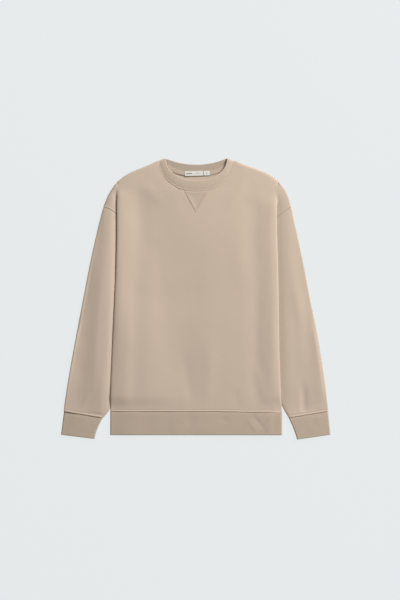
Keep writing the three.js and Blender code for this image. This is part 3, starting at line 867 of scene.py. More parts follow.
def rib_band(
    name: str, rings: Sequence[Sequence[Vector]], pitch: float, depth: float
) -> bpy.types.Object:
    """Make a closed band of doubled rib, folded at its first ring and raw at its last.

    Args:
        name: the piece's name.
        rings: the band's middle surface, ring by ring from the fold to the seam.
        pitch: width of one rib.
        depth: how far a rib stands out.

    Returns:
        The new object.
    """
    count, last = len(rings[0]), len(rings) - 1
    middle = rings[last // 2]
    lengths = [(middle[(j + 1) % count] - middle[j]).length for j in range(count)]
    ribs = round(sum(lengths) / pitch)
    arcs = [sum(lengths[:j]) / sum(lengths) for j in range(count)]
    mesh = bmesh.new()
    layer = mesh.loops.layers.uv.new("cloth")
    loops: list[list[Vector]] = []
    for j in range(count):
        before, after = (j - 1) % count, (j + 1) % count
        wave = depth * math.cos(2 * math.pi * ribs * arcs[j])
        outer, inner = [], []
        for i, ring in enumerate(rings):
            along = rings[min(i + 1, last)][j] - rings[max(i - 1, 0)][j]
            normal = (ring[after] - ring[before]).cross(along).normalized()
            fade = 0.35 + 0.65 * smooth(i / 2) * smooth((last - i) / 1.5)
            half = RIB / 2 + wave * fade
            outer.append(ring[j] + normal * half)
            inner.append(ring[j] - normal * half)
        out = (rings[0][j] - rings[1][j]).normalized()
        normal = (outer[0] - inner[0]).normalized()
        half = (outer[0] - inner[0]).length / 2
        nose = []
        for angle in HALF_ROUND:
            a = math.radians(angle)
            nose.append(rings[0][j] + out * half * math.sin(a) - normal * half * math.cos(a))
        loops.append([*reversed(inner), *nose, *outer])
    grid = [[mesh.verts.new(p * MM) for p in loop] for loop in loops]
    tall = len(loops[0])
    around = sum(lengths) * MM
    for j in range(count):
        after = (j + 1) % count
        u, u_after = arcs[j] * around, (arcs[after] or 1) * around
        for i in range(tall):
            k = (i + 1) % tall
            face = mesh.faces.new([grid[j][i], grid[j][k], grid[after][k], grid[after][i]])
            places = ((u, i), (u, i + 1), (u_after, i + 1), (u_after, i))
            for loop, (a, b) in zip(face.loops, places):
                loop[layer].uv = (a, b * RING_GAP * MM)
    bmesh.ops.recalc_face_normals(mesh, faces=mesh.faces)
    piece = placed(name, mesh)
    smooth_over(piece, 60)
    return piece


def through(points: Sequence[tuple[float, float, float]], step: float) -> Vector:
    """Read a rounded line through points at a step along them.

    Args:
        points: the points of one half, whose ends lie on the garment's middle.
        step: the step, which is whole at each point.

    Returns:
        The place there.
    """
    i = min(int(step), len(points) - 2)
    a, b, c, d = (Vector(points[max(0, min(len(points) - 1, i + k))]) for k in (-1, 0, 1, 2))
    if i == 0:
        a = Vector((-c.x, c.y, c.z))
    if i == len(points) - 2:
        d = Vector((-b.x, b.y, b.z))
    return between(a, b, c, d, step - i)


NECK_LINE = [tuple(through(NECK_SEAM, s).xy) for s in steps(0, NECK_TURN, 30)]


def even(points: Sequence[Vector], count: int, closed: bool = False) -> list[Vector]:
    """Space points evenly along a line.

    Args:
        points: the line's points.
        count: how many points it gives.
        closed: whether the line comes back to its first point.

    Returns:
        The evenly spaced points.
    """
    line = [*points, points[0]] if closed else list(points)
    lengths = [0.0]
    for a, b in zip(line, line[1:]):
        lengths.append(lengths[-1] + (b - a).length)
    spaced, k = [], 1
    for i in range(count):
        want = lengths[-1] * i / (count if closed else count - 1)
        while k < len(lengths) - 1 and lengths[k] < want:
            k += 1
        t = (want - lengths[k - 1]) / max(1e-9, lengths[k] - lengths[k - 1])
        spaced.append(line[k - 1].lerp(line[k], t))
    return spaced


def fill(tree: bpy.types.NodeTree, node: bpy.types.Node, values: Inputs) -> None:
    """Set a node's inputs.

    Args:
        tree: the node tree.
        node: the node.
        values: for the name or number of an input, its value or the socket that feeds it.
    """
    for place, value in values.items():
        if isinstance(value, bpy.types.NodeSocket):
            tree.links.new(value, node.inputs[place])
        else:
            node.inputs[place].default_value = value


def add_node(tree: bpy.types.NodeTree, kind: str, values: Inputs | None = None) -> bpy.types.Node:
    """Add a shader node.

    Args:
        tree: the node tree.
        kind: its type, without the first word.
        values: what its inputs get.

    Returns:
        The node.
    """
    node = tree.nodes.new(f"ShaderNode{kind}")
    fill(tree, node, values or {})
    return node


def group_node(
    tree: bpy.types.NodeTree, group: bpy.types.NodeTree, values: Inputs
) -> bpy.types.Node:
    """Place a node group in a material.

    Args:
        tree: the material's node tree.
        group: the group.
        values: what its inputs get.

    Returns:
        The node.
    """
    node = add_node(tree, "Group")
    node.node_tree = group
    fill(tree, node, values)
    return node


def math_node(tree: bpy.types.NodeTree, kind: str, *values: object) -> bpy.types.NodeSocket:
    """Add a Math node.

    Args:
        tree: the node tree.
        kind: the operation.
        values: numbers or sockets for its inputs.

    Returns:
        Its output socket.
    """
    node = add_node(tree, "Math", dict(enumerate(values)))
    node.operation = kind
    return node.outputs[0]


def scale_node(
    tree: bpy.types.NodeTree, color: bpy.types.NodeSocket, scale: bpy.types.NodeSocket
) -> bpy.types.NodeSocket:
    """Add a node that makes a colour lighter or darker.

    Args:
        tree: the node tree.
        color: the colour.
        scale: what it is multiplied by.

    Returns:
        The new colour.
    """
    node = add_node(tree, "VectorMath")
    node.operation = "SCALE"
    fill(tree, node, {0: color, "Scale": scale})
    return node.outputs[0]


def new_material(name: str) -> tuple[bpy.types.Material, bpy.types.Node]:
    """Start a material.

    Args:
        name: its name.

    Returns:
        The material and its shader.
    """
    made = bpy.data.materials.new(name)
    made.use_nodes = True
    return made, made.node_tree.nodes["Principled BSDF"]


class Knit(Enum):
    """How a cloth is knitted or woven."""

    JERSEY = "jersey"
    RIB = "rib"
    TWILL = "twill"


@dataclass(frozen=True)
class ClothFinish:
    """The look of a cloth: its colour and how it varies, its knit and its nap.

    Where shade is below 1, the colour carries painted shade: the cloth darkens down to that share
    below the lower of the heights in depths, in metres, and not at all above the higher, standing
    for the shade that falls on a layer that lies deep under others.
    """

    name: str
    color: tuple[float, float, float]
    knit: Knit
    loop: float = 1.3
    relief: float = 0.12
    mottle: float = 0.05
    roughness: float = 0.92
    sheen: float = 0.04
    shade: float = 1.0
    # colour that the knit's gaps are multiplied by: painted shade in the hollows between loops
    gap: tuple[float, float, float, float] = (0.86, 0.85, 0.84, 1)
    depths: tuple[float, float] = (0.0025, 0.0065)
    nap: float = 0.35

    def material(self) -> bpy.types.Material:
        """Build the material.

        Returns:
            A material whose knit follows the piece's own UV map.
        """
        made, shader = new_material(self.name)
        tree = made.node_tree
        cloth = add_node(tree, "UVMap")
        cloth.uv_map = "cloth"
        solid = add_node(tree, "TexCoord").outputs["Object"]
        melange = group_node(
            tree, melange_group(),
            {"Color": (*self.color, 1), "Amount": self.mottle, "Place": solid},
        )
        knit = group_node(
            tree, knit_group(self.knit), {"Loop": self.loop * MM, "Place": cloth.outputs["UV"]}
        )
        nap = add_node(tree, "TexNoise", {"Scale": 900, "Detail": 3, "Vector": solid})
        height = math_node(
            tree, "MULTIPLY_ADD", nap.outputs["Fac"], self.nap, knit.outputs["Height"]
        )
        bump = add_node(
            tree, "Bump", {"Strength": 0.5, "Distance": self.relief * MM, "Height": height}
        )
        # Painted shade: the colour darkens in the knit's gaps
        gap_shade = add_node(tree, "Mix")
        gap_shade.data_type = "RGBA"
        gap_shade.blend_type = "MULTIPLY"
        fill(tree, gap_shade, {
            "Factor": knit.outputs["Gap"], "A": melange.outputs["Color"], "B": self.gap,
        })
        # Painted shade: the colour darkens toward the floor, down to the share in shade below the
        # lower height in depths, for cloth that lies deep under other layers
        axes = add_node(tree, "SeparateXYZ", {0: solid})
        layer = add_node(tree, "MapRange", {
            "Value": axes.outputs["Z"], "From Min": self.depths[0], "From Max": self.depths[1],
            "To Min": self.shade,
        })
        fill(tree, shader, {
            "Base Color": scale_node(tree, gap_shade.outputs["Result"], layer.outputs["Result"]),
            "Normal": bump.outputs["Normal"],
            "Roughness": self.roughness,
            "Specular IOR Level": 0.15,
            "Sheen Weight": self.sheen,
            "Sheen Roughness": 0.55,
            "Sheen Tint": (*[min(1.0, c * 1.3) for c in self.color], 1),
        })
        return made


def new_group(
    name: str, inputs: Sequence[tuple[str, str]], outputs: Sequence[tuple[str, str]]
) -> tuple[bpy.types.NodeTree, bpy.types.Node, bpy.types.Node]:
    """Start a shader node group.

    Args:
        name: the group's name.
        inputs: names and socket types of its inputs.
        outputs: names and socket types of its outputs.

    Returns:
        The tree, and its input and output nodes.
    """
    tree = bpy.data.node_groups.new(name, "ShaderNodeTree")
    for title, kind in inputs:
        tree.interface.new_socket(title, in_out="INPUT", socket_type=kind)
    for title, kind in outputs:
        tree.interface.new_socket(title, in_out="OUTPUT", socket_type=kind)
    return tree, tree.nodes.new("NodeGroupInput"), tree.nodes.new("NodeGroupOutput")


def melange_group() -> bpy.types.NodeTree:
    """Give the group that varies a cloth's colour, building it once.

    Returns:
        A group from a colour, an amount and a place to the varied colour.
    """
    if "melange" in bpy.data.node_groups:
        return bpy.data.node_groups["melange"]
    tree, into, out = new_group(
        "melange",
        (
            ("Color", "NodeSocketColor"), ("Amount", "NodeSocketFloat"),
            ("Place", "NodeSocketVector"),
        ),
        (("Color", "NodeSocketColor"),),
    )
    total = None
    for scale, share in ((6.0, 0.35), (60.0, 0.3), (1400.0, 1.2)):
        texture = add_node(
            tree, "TexNoise", {"Scale": scale, "Detail": 2, "Vector": into.outputs["Place"]}
        )
        part = math_node(tree, "MULTIPLY_ADD", texture.outputs["Fac"], share, -share / 2)
        total = part if total is None else math_node(tree, "ADD", total, part)
    value = math_node(tree, "MULTIPLY_ADD", total, into.outputs["Amount"], 1.0)
    fill(tree, out, {"Color": scale_node(tree, into.outputs["Color"], value)})
    return tree


def knit_group(knit: Knit) -> bpy.types.NodeTree:
    """Give the group that knits or weaves a cloth, building it once.

    Args:
        knit: the kind of cloth.

    Returns:
        A group from a place on the flat cloth to a height and a mask of the gaps.
    """
    name = f"knit_{knit.value}"
    if name in bpy.data.node_groups:
        return bpy.data.node_groups[name]
    tree, into, out = new_group(
        name,
        (("Place", "NodeSocketVector"), ("Loop", "NodeSocketFloat")),
        (("Height", "NodeSocketFloat"), ("Gap", "NodeSocketFloat")),
    )
    split = add_node(tree, "SeparateXYZ", {0: into.outputs["Place"]})
    circle = 2 * math.pi
    across = math_node(tree, "DIVIDE", split.outputs["X"], into.outputs["Loop"])
    along = math_node(tree, "DIVIDE", split.outputs["Y"], into.outputs["Loop"])
    if knit is Knit.TWILL:
        turn = math_node(tree, "ADD", across, along)
        wave = math_node(tree, "SINE", math_node(tree, "MULTIPLY", turn, circle))
        height = math_node(tree, "MULTIPLY_ADD", wave, 0.5, 0.5)
    else:
        stretch = 1.0 if knit is Knit.JERSEY else 1.6
        wale = math_node(tree, "FRACT", math_node(tree, "MULTIPLY", across, stretch))
        leg = math_node(tree, "ABSOLUTE", math_node(tree, "SUBTRACT", wale, 0.5))
        course = math_node(tree, "ADD", math_node(tree, "MULTIPLY", along, 1.25), leg)
        wave = math_node(tree, "SINE", math_node(tree, "MULTIPLY", course, circle))
        body = math_node(tree, "SINE", math_node(tree, "MULTIPLY", leg, circle))
        height = math_node(tree, "MULTIPLY_ADD", wave, 0.22, math_node(tree, "MULTIPLY", body, 0.6))
    gap = math_node(tree, "SUBTRACT", 0.42, height)
    fill(tree, out, {"Height": height, "Gap": math_node(tree, "MAXIMUM", gap, 0.0)})
    return tree


@dataclass(frozen=True)
class ThreadFinish:
    """The look of sewing thread: its colour and how much that varies."""

    name: str
    color: tuple[float, float, float]
    mottle: float = 0.12
    roughness: float = 0.6

    def material(self) -> bpy.types.Material:
        """Build the material.

        Returns:
            A plain, slightly bright material.
        """
        made, shader = new_material(self.name)
        tree = made.node_tree
        solid = add_node(tree, "TexCoord").outputs["Object"]
        melange = group_node(
            tree, melange_group(),
            {"Color": (*self.color, 1), "Amount": self.mottle, "Place": solid},
        )
        fill(tree, shader, {
            "Base Color": melange.outputs["Color"], "Roughness": self.roughness,
            "Specular IOR Level": 0.3,
        })
        return made


JERSEY = ClothFinish("brushed_jersey", (0.535, 0.430, 0.340), Knit.JERSEY, loop=1.25)
TRIANGLE_JERSEY = ClothFinish("triangle_jersey", (0.500, 0.402, 0.318), Knit.JERSEY, loop=1.25)
# Its back half lies low under its front, so it gets painted shade down to 0.80 of its colour
SHADED_COLLAR_KNIT = ClothFinish("shaded_collar_rib_knit", (0.518, 0.417, 0.325), Knit.RIB, shade=0.80)
RIB_KNIT = ClothFinish("rib_knit", (0.475, 0.382, 0.296), Knit.RIB, loop=1.2, relief=0.15)
# The tape's colour is darkened by about a tenth as painted shade, for the recess inside the back
# neck under the front collar
SHADED_TAPE_TWILL = ClothFinish("shaded_neck_tape_twill", (0.470, 0.375, 0.292), Knit.TWILL, loop=1.4)
LABEL_WEAVE = ClothFinish(
    "label_weave", (0.66, 0.65, 0.60), Knit.TWILL, loop=0.5, relief=0.04, mottle=0.04,
    roughness=0.6, sheen=0.05,
)
THREAD = ThreadFinish("seam_thread", (0.50, 0.395, 0.31))
LABEL_THREAD = ThreadFinish("label_thread", (0.21, 0.20, 0.185))


@dataclass
class Garment:
    """All the pieces, their finishes, and how each is entered in the frame."""

    pieces: list[bpy.types.Object] = field(default_factory=list)
    finishes: dict[str, bpy.types.Material] = field(default_factory=dict)

    def dress(
        self, piece: bpy.types.Object, finish: ClothFinish | ThreadFinish, slot: str, *nodes: str
    ) -> bpy.types.Object:
        """Give a piece its material and enter it.

        Args:
            piece: the finished piece.
            finish: its finish.
            slot: not used.
            nodes: the CAD nodes that it stands for.

        Returns:
            The same piece.
        """
        if finish.name not in self.finishes:
            self.finishes[finish.name] = finish.material()
        piece.data.materials.clear()
        piece.data.materials.append(self.finishes[finish.name])
        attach(piece, "root")
        if nodes:
            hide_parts(*nodes)
        self.pieces.append(piece)
        log.info("%s: %d faces, %s", piece.name, len(piece.data.polygons), finish.name)
        return piece


def sided(cut: Cut, row: Row) -> Row:
    """Turn a row's distances across the cloth the way that X runs on its side.

    Args:
        cut: the side.
        row: the row, measured from the inside.

    Returns:
        The row, with distances below zero on the wearer's right.
    """
    return [(point, cut.sign * u, v) for point, u, v in row]


def rows_between(*stretches: tuple[float, float, float]) -> list[float]:
    """Give heights for a piece's rows.

    Args:
        stretches: the start, end and spacing of each stretch.

    Returns:
        The heights.
    """
    heights: list[float] = []
    for start, end, gap in stretches:
        count = max(2, round((end - start) / gap) + 1)
        heights += steps(start, end, count)[:-1]
    return [*heights, stretches[-1][1]]


@dataclass
class FrontPanel:
    """The front with its dropped shoulders, folded over the sleeves at both sides."""

    width: float = 487.0
    length: float = 630.0
    area: float = 0.277

    def build(self, garment: Garment) -> bpy.types.Object:
        """Make the panel and enter it.

        Args:
            garment: where it is entered.

        Returns:
            The panel.
        """
        patches = []
        for cut in CUTS:
            shape = FrontShape(cut)
            heights = rows_between(
                (PANEL_END_Y, -273, 0.75), (-273, SIDE_SEAM_Y, 5), (SIDE_SEAM_Y, SPLIT_Y, 2.5),
                (SPLIT_Y, cut.tuck_y, 5), (cut.tuck_y, cut.shoulder_y, 1.1),
                (cut.shoulder_y, 262, 1.5), (262, 278, 0.8), (278, 300, 1.5), (300, 344.2, 2.1),
            )
            rows = []
            for y in heights:
                row = shape.row(y)
                row += shape.cap(y, row[-1])[1:]
                start = 0 if y < NECK_FRONT_Y else FRONT_NECK.at(y)
                rows.append(sided(cut, measured(row, y, start)))
            patches.append(rows)
        piece = surface("front_cloth", patches, PANEL_TURNED)
        thicken(piece, CLOTH)
        garment.dress(piece, JERSEY, "jersey", "front_panel")
        return piece


@dataclass
class BackPanel:
    """The back, flat on the floor, with shallow creases that rise from it."""

    width: float = 475.0
    length: float = 622.0
    area: float = 0.262

    def edge(self, shape: FrontShape, y: float) -> list[tuple[float, float]]:
        """Give the panel's edge at a height.

        Args:
            shape: the front on the same side.
            y: the height.

        Returns:
            Points (x, z), from the inside to the seam.
        """
        cut = shape.cut
        if SIDE_SEAM_Y < y <= cut.shoulder_y - 1:
            end = shape.armhole.at(y) - SEAM_GAP
            return [(end - inward, BACK_Z) for inward in (12, 10, 8, 6, 4, 2.5, 1.2, 0.5, 0)]
        if y > SIDE_SEAM_Y:
            end = shape.body.at(y) if y >= cut.cap_top else shape.shoulder.at(y)
            pairs = [(Sections.back_edge, 1)]
        else:
            end = shape.body.at(y)
            hem = smooth((HEM_TOP_Y + HEM_REACH - y) / 40)
            pairs = [(Sections.back_side, 1), (Sections.back_hem, hem)]
        return [(end - inward, z) for inward, z in (blend(pairs, s) for s in steps(0, 4, 9))]

    def row(self, shape: FrontShape, y: float) -> Row:
        """Give a row from the middle or the neck seam to the side.

        Args:
            shape: the front on the same side.
            y: the height.

        Returns:
            The measured row.
        """
        start = 0.0 if y <= NECK_BACK_Y else BACK_NECK.at(y) + 0.4
        edge = self.edge(shape, y)
        end = edge[-1][0]
        squeeze = min(1.0, (end - start) / 26)
        near = [(end - (end - x) * squeeze, z) for x, z in edge]
        line = [(mix(start, near[0][0], t), BACK_Z) for t in steps(0, 1, 26)[:-1]] + near
        points = []
        for x, z in line:
            side = shape.cut.sign * x
            lift = 0.3 * max(0.0, sum(crease.height(-side, y) for crease in FRONT_CREASES))
            lift += 0.15 + 0.15 * noise.noise(Vector((side / 60, y / 80, 9)))
            lift *= smooth((end - x) / 20) * smooth((y - HEM_TOP_Y) / 20)
            lift *= smooth((330 - y) / 25)
            points.append(Vector((side, y - seam_drop(side, y), z + lift)))
        return measured(points, y, start)

    def build(self, garment: Garment) -> bpy.types.Object:
        """Make the panel and enter it.

        Args:
            garment: where it is entered.

        Returns:
            The panel.
        """
        patches = []
        for cut in CUTS:
            shape = FrontShape(cut)
            heights = rows_between(
                (PANEL_END_Y, -212, 4), (-212, SIDE_SEAM_Y, 8), (SIDE_SEAM_Y, SPLIT_Y, 5),
                (SPLIT_Y, cut.tuck_y, 8), (cut.tuck_y, cut.shoulder_y, 1.5),
                (cut.shoulder_y, 311.6, 3), (311.6, 316, 0.75), (316, 343, 2),
            )
            patches.append([sided(cut, self.row(shape, y)) for y in heights])
        piece = surface("back_cloth", patches, PANEL_TURNED)
        thicken(piece, CLOTH)
        garment.dress(piece, JERSEY, "jersey", "back_panel")
        return piece


@dataclass
class Sleeve:
    """A long sleeve laid flat beside the body, its inner edge under the front's fold."""

    cut: Cut
    width: float = 216.0
    length: float = 525.0
    area: float = 0.0945
    across: int = 40
    nose: float = 4.5

    def __post_init__(self) -> None:
        """Read the side's lines."""
        self.shape = FrontShape(self.cut)
        self.outer = Curve(self.cut.sleeve)
        self.inside = Curve(self.cut.inner)

    def inner_x(self, y: float) -> float:
        """Give the sleeve's inner edge at a height.

        Args:
            y: the height.

        Returns:
            The distance from the middle.
        """
        if y > SPLIT_Y:
            return self.shape.armhole.at(y) + 0.3 - 1.2 * smooth((y - self.cut.tuck_y) / 3)
        if y > self.cut.inner[-1][0]:
            under = self.shape.body.at(y) - 6.25
            join = self.cut.inner[-1]
            return mix(join[1], under, smooth((y - join[0]) / 20))
        return self.inside.at(y)

    def relief(self, x: float, y: float) -> float:
        """Give the folds and ripples of the sleeve's front."""
        z = sum(crease.height(x, y) for crease in SLEEVE_CREASES[self.cut.side])
        return z + 0.8 * ripple(x, y, 21 + self.cut.sign)

    def ring(self, y_in: float, y_out: float) -> list[Vector]:
        """Give the section at a row: over the front to the outer edge, and back under.

        Args:
            y_in: where the row lies at the inner edge.
            y_out: where it lies at the outer edge.

        Returns:
            The points, without the inner fold.
        """
        inner = self.inner_x(y_in)
        edge = self.outer.at(y_out)
        squeeze = min(1.0, (edge - inner) / 48)
        top_y = self.cut.shoulder_y
        drop = 0.1 if y_in > SPLIT_Y else 0.0
        tuck = 1.8 * smooth((y_in - self.cut.tuck_y) / 3)
        flat = smooth((-215 - y_in) / 66)
        body = self.shape.body.at(max(y_in, -246))
        band = smooth((CUFF_SEAM_IN_Y + 1 + SEAM_BAND + 6 - y_in) / 2.5)
        line: list[tuple[float, float]] = []
        for t in steps(0, 1, self.across):
            x = mix(inner, edge, 1 - (1 - t) ** 1.9)
            z = self.shape.rise.at(x - body)
            roll = self.cut.roll * min(1.0, (edge - body) / 40)
            roll = max(LEAST_ROLL, mix(roll, LEAST_ROLL, smooth((40 - y_in) / 140)))
            z = EDGE_Z + (z - EDGE_Z) * rounded(edge - x, roll) if z > EDGE_Z else z
            z -= tuck * math.exp(-(((x - inner) / 3.5) ** 2))
            z = mix(z, BACK_Z + (z - BACK_Z) * 0.78, flat)
            side = self.cut.sign * x
            shown = smooth((edge - x) / 9) * smooth((x - inner) / 14) * smooth((top_y - y_in) / 26)
            line.append((x, z + self.relief(side, y_in) * shown * (1 - 0.75 * band)))
        nose = line[-1][1]
        for angle in (20, 42, 64, 80, 90):
            r = math.radians(angle)
            x = edge - self.nose * squeeze * (1 - math.cos(r))
            line.append((x, nose - (nose - BACK_Z) * math.sin(r)))
        line += [(x, BACK_Z) for x in steps(line[-1][0], inner, 20)[1:]]
        points = []
        for x, z in line:
            t = (x - inner) / max(1.0, edge - inner)
            y = mix(y_in, y_out, t) - drop
            points.append(Vector((self.cut.sign * x, y, z + 0.85 * self.seam(t, y_in, y_out, z))))
        return points

    def seam(self, t: float, y_in: float, y_out: float, z: float) -> float:
        """Give the pressed ridge above the cuff seam, on the front layer only.

        Args:
            t: the place across, from the inner edge to the outer.
            y_in: where the row lies at the inner edge.
            y_out: where it lies at the outer edge.
            z: the cloth's height.

        Returns:
            A share of the full ridge.
        """
        if z < EDGE_Z - 0.2:
            return 0.0
        far = (y_in - CUFF_SEAM_IN_Y) * (1 - t) + (y_out - CUFF_SEAM_OUT_Y) * t
        edge = smooth(min(t, 1 - t) / 0.05)
        groove = math.exp(-(((far - SEAM_BAND - 0.6) / 1.3) ** 2))
        return (smooth((SEAM_BAND - far) / 1.3) - 0.5 * groove) * edge

    def inner_fold(self, row: Row) -> Row:
        """Close a row at the sleeve's inner edge, under the front's fold.

        Args:
            row: the row, whose ends lie one above the other.

        Returns:
            The half round from its last point to its first.
        """
        (start, _, v), (end, u, _) = row[0], row[-1]
        half = (start.z - end.z) / 2
        middle = (start + end) / 2
        bend = [(end, u, v)]
        for angle in HALF_ROUND:
            r = math.radians(angle)
            out = Vector((-self.cut.sign * half * 0.9 * math.sin(r), 0, -half * math.cos(r)))
            bend.append((middle + out, u + self.cut.sign * half * r, v))
        bend.append((start, u + self.cut.sign * half * math.pi, v))
        return bend

    def build(self, garment: Garment) -> bpy.types.Object:
        """Make the sleeve and enter it.

        Args:
            garment: where it is entered.

        Returns:
            The sleeve.
        """
        heights = [(y, y) for y in reversed(rows_between(
            (CUFF_FAN_Y, SPLIT_Y, 5), (SPLIT_Y, 84, 5), (84, self.cut.tuck_y, 5),
            (self.cut.tuck_y, self.cut.shoulder_y - 1.6, 1),
        ))]
        for t in [*steps(0, 0.86, 20)[1:], *steps(0.86, 1, 15)[1:]]:
            y_in = mix(CUFF_FAN_Y, CUFF_SEAM_IN_Y + 0.1, t)
            heights.append((y_in, mix(CUFF_FAN_Y, CUFF_SEAM_OUT_Y + 0.2, t)))
        rings = [self.ring(*pair) for pair in heights]
        tip = rings[0][self.across]
        rings[0] = [tip.copy() for _ in rings[0]]
        rows = [sided(self.cut, measured(ring, y)) for ring, (y, _) in zip(rings, heights)]
        fold = [self.inner_fold(row) for row in rows if row[0][2] <= SPLIT_Y]
        turned = self.cut.side is Wearer.RIGHT
        piece = surface(f"sleeve_cloth_{self.cut.word}", [rows, fold], [turned, turned])
        thicken(piece, CLOTH)
        garment.dress(piece, JERSEY, "jersey", f"sleeve_{self.cut.word}")
        return piece


@dataclass
class Cuff:
    """A cuff of doubled rib, laid flat."""

    cut: Cut
    pitch: float = 2.4
    depth: float = 0.17
    width: float = 186.0
    length: float = 58.0
    wide: float = 94.0
    middle: float = 3.6
    high: float = 2.35
    arch: float = 0.35
    fall: float = 1.2

    def ring(self, section: Sequence[Vector], down: float) -> list[Vector]:
        """Lay the section across the cuff.

        Args:
            section: the section, whose X goes from 0 to the cuff's width.
            down: the place, from 0 at the sleeve to 1 at the cuff's end.

        Returns:
            The ring of points.
        """
        top, end = self.cut.cuff_top, self.cut.cuff_end
        bow = self.cut.cuff_bow * 4 * down * (1 - down)
        fall = self.fall if self.cut.side is Wearer.RIGHT else 0.0
        ring = []
        for point in section:
            part = point.x / self.wide
            x = mix(mix(top[0], top[2], part), mix(end[0], end[2], part), down)
            y = mix(mix(top[1], top[3], part), mix(end[1], end[3], part), down)
            z = point.z
            if z > self.middle:
                z += 0.35 * noise.noise(Vector((x / 18, y / 26, 5))) * math.sin(math.pi * part)
                z -= math.exp(-((down / 0.09) ** 2))
                z -= fall * smooth((part - 0.55) / 0.4)
            ring.append(Vector((self.cut.sign * (x + bow * (1 - part)), y, z)))
        return ring

    def build(self, garment: Garment) -> bpy.types.Object:
        """Make the cuff and enter it.

        Args:
            garment: where it is entered.

        Returns:
            The cuff.
        """
        section = band_section(0.0, self.wide, self.middle, self.high, 80, self.arch)
        section = even(section, round(2 * self.wide / self.pitch) * 5, closed=True)
        rings = [self.ring(section, down) for down in steps(1, 0, 26)]
        piece = rib_band(f"cuff_rib_{self.cut.word}", rings, self.pitch, self.depth)
        garment.dress(piece, RIB_KNIT, "rib", f"cuff_{self.cut.word}")
        return piece


@dataclass
class HemBand:
    """The hem of doubled rib, one closed band."""

    pitch: float = 2.4
    depth: float = 0.17
    width: float = 860.0
    length: float = 58.4
    high: float = 2.35
    sag: float = 1.9
    swell: float = 1.1
    left: float = -RIGHT_CUT.body[0][1]
    right: float = LEFT_CUT.body[0][1]

    def lift(self, x: float, y: float) -> float:
        """Give how much the upper layer rises at a place.

        Args:
            x: the place along X.
            y: the height.

        Returns:
            The rise, or less than zero where the band lies lower.
        """
        lift = sum(crease.height(x, y) for crease in HEM_CREASES)
        lift += 0.5 * noise.noise(Vector((x / 45, y / 40, 4)))
        lift += self.sag * smooth((x - self.left) / 44)
        lift += self.swell * smooth((x - self.right) / 75 + 1)
        return lift - 0.8 * math.exp(-(((y - HEM_TOP_Y) / 4) ** 2))

    def build(self, garment: Garment) -> bpy.types.Object:
        """Make the band and enter it for both of its CAD strips.

        Args:
            garment: where it is entered.

        Returns:
            The band.
        """
        middle = BACK_Z + 0.4 + self.high
        section = band_section(self.left, self.right, middle, self.high, 200)
        section = even(section, round(self.width / self.pitch) * 4, closed=True)
        rings = []
        for y in steps(HEM_END_Y + RIB / 2, HEM_TOP_Y - SEAM_GAP, 18):
            ring = []
            for x, _, z in section:
                if z > middle:
                    z = middle + (z - middle) * (1 + self.lift(x, y) / self.high)
                ring.append(Vector((x, y - seam_drop(x, y), z)))
            rings.append(ring)
        piece = rib_band("hem_rib", rings, self.pitch, self.depth)
        garment.dress(piece, RIB_KNIT, "rib", "hem_rib_front", "hem_rib_back")
        return piece


@dataclass
class Collar:
    """The neck rib: a doubled strip that folds over at both shoulders."""

    pitch: float = 2.4
    depth: float = 0.16
    width: float = 410.0
    length: float = 24.0

    @staticmethod
    def column(free: Vector, seam: Vector) -> list[Vector]:
        """Cross the rib at one place, slightly arched and pressed down at its seam.

        Args:
            free: the rib's free edge.
            seam: its seam.

        Returns:
            The points, from the edge's fold to the seam.
        """
        seam = seam.lerp(free, 0.3 / (seam - free).length)
        free = free.lerp(seam, RIB / 2 / (seam - free).length)
        points = []
        for part in steps(0, 1, 13):
            point = free.lerp(seam, part)
            arch = math.sin(math.pi * min(1.0, part * 1.05)) * smooth((point.z - 2) / 4)
            press = smooth((part - 0.85) / 0.15) * smooth((point.z - 4) / 2)
            point.z += 0.3 * arch - 0.2 * press
            points.append(point)
        return points

    def build(self, garment: Garment) -> bpy.types.Object:
        """Make the rib and enter it.

        Args:
            garment: where it is entered.

        Returns:
            The rib.
        """
        fine = steps(0, len(NECK_FREE) - 1, 480)
        free, seam = ([through(points, s) for s in fine] for points in (NECK_FREE, NECK_SEAM))
        for half in (free, seam):
            half += [Vector((-p.x, p.y, p.z)) for p in reversed(half[1:-1])]
        middle = [a.lerp(b, 0.5) for a, b in zip(free, seam)]
        lengths = [0.0]
        for a, b in zip(middle, [*middle[1:], middle[0]]):
            lengths.append(lengths[-1] + (b - a).length)
        count = 5 * round(self.width / self.pitch)
        columns, k = [], 0
        for j in range(count):
            want = lengths[-1] * j / count
            while lengths[k + 1] < want:
                k += 1
            t = (want - lengths[k]) / (lengths[k + 1] - lengths[k])
            n = (k + 1) % len(free)
            columns.append(self.column(free[k].lerp(free[n], t), seam[k].lerp(seam[n], t)))
        rings = [list(ring) for ring in zip(*columns)]
        piece = rib_band("collar_rib", rings, self.pitch, self.depth)
        garment.dress(piece, SHADED_COLLAR_KNIT, "rib", "neck_rib")
        return piece


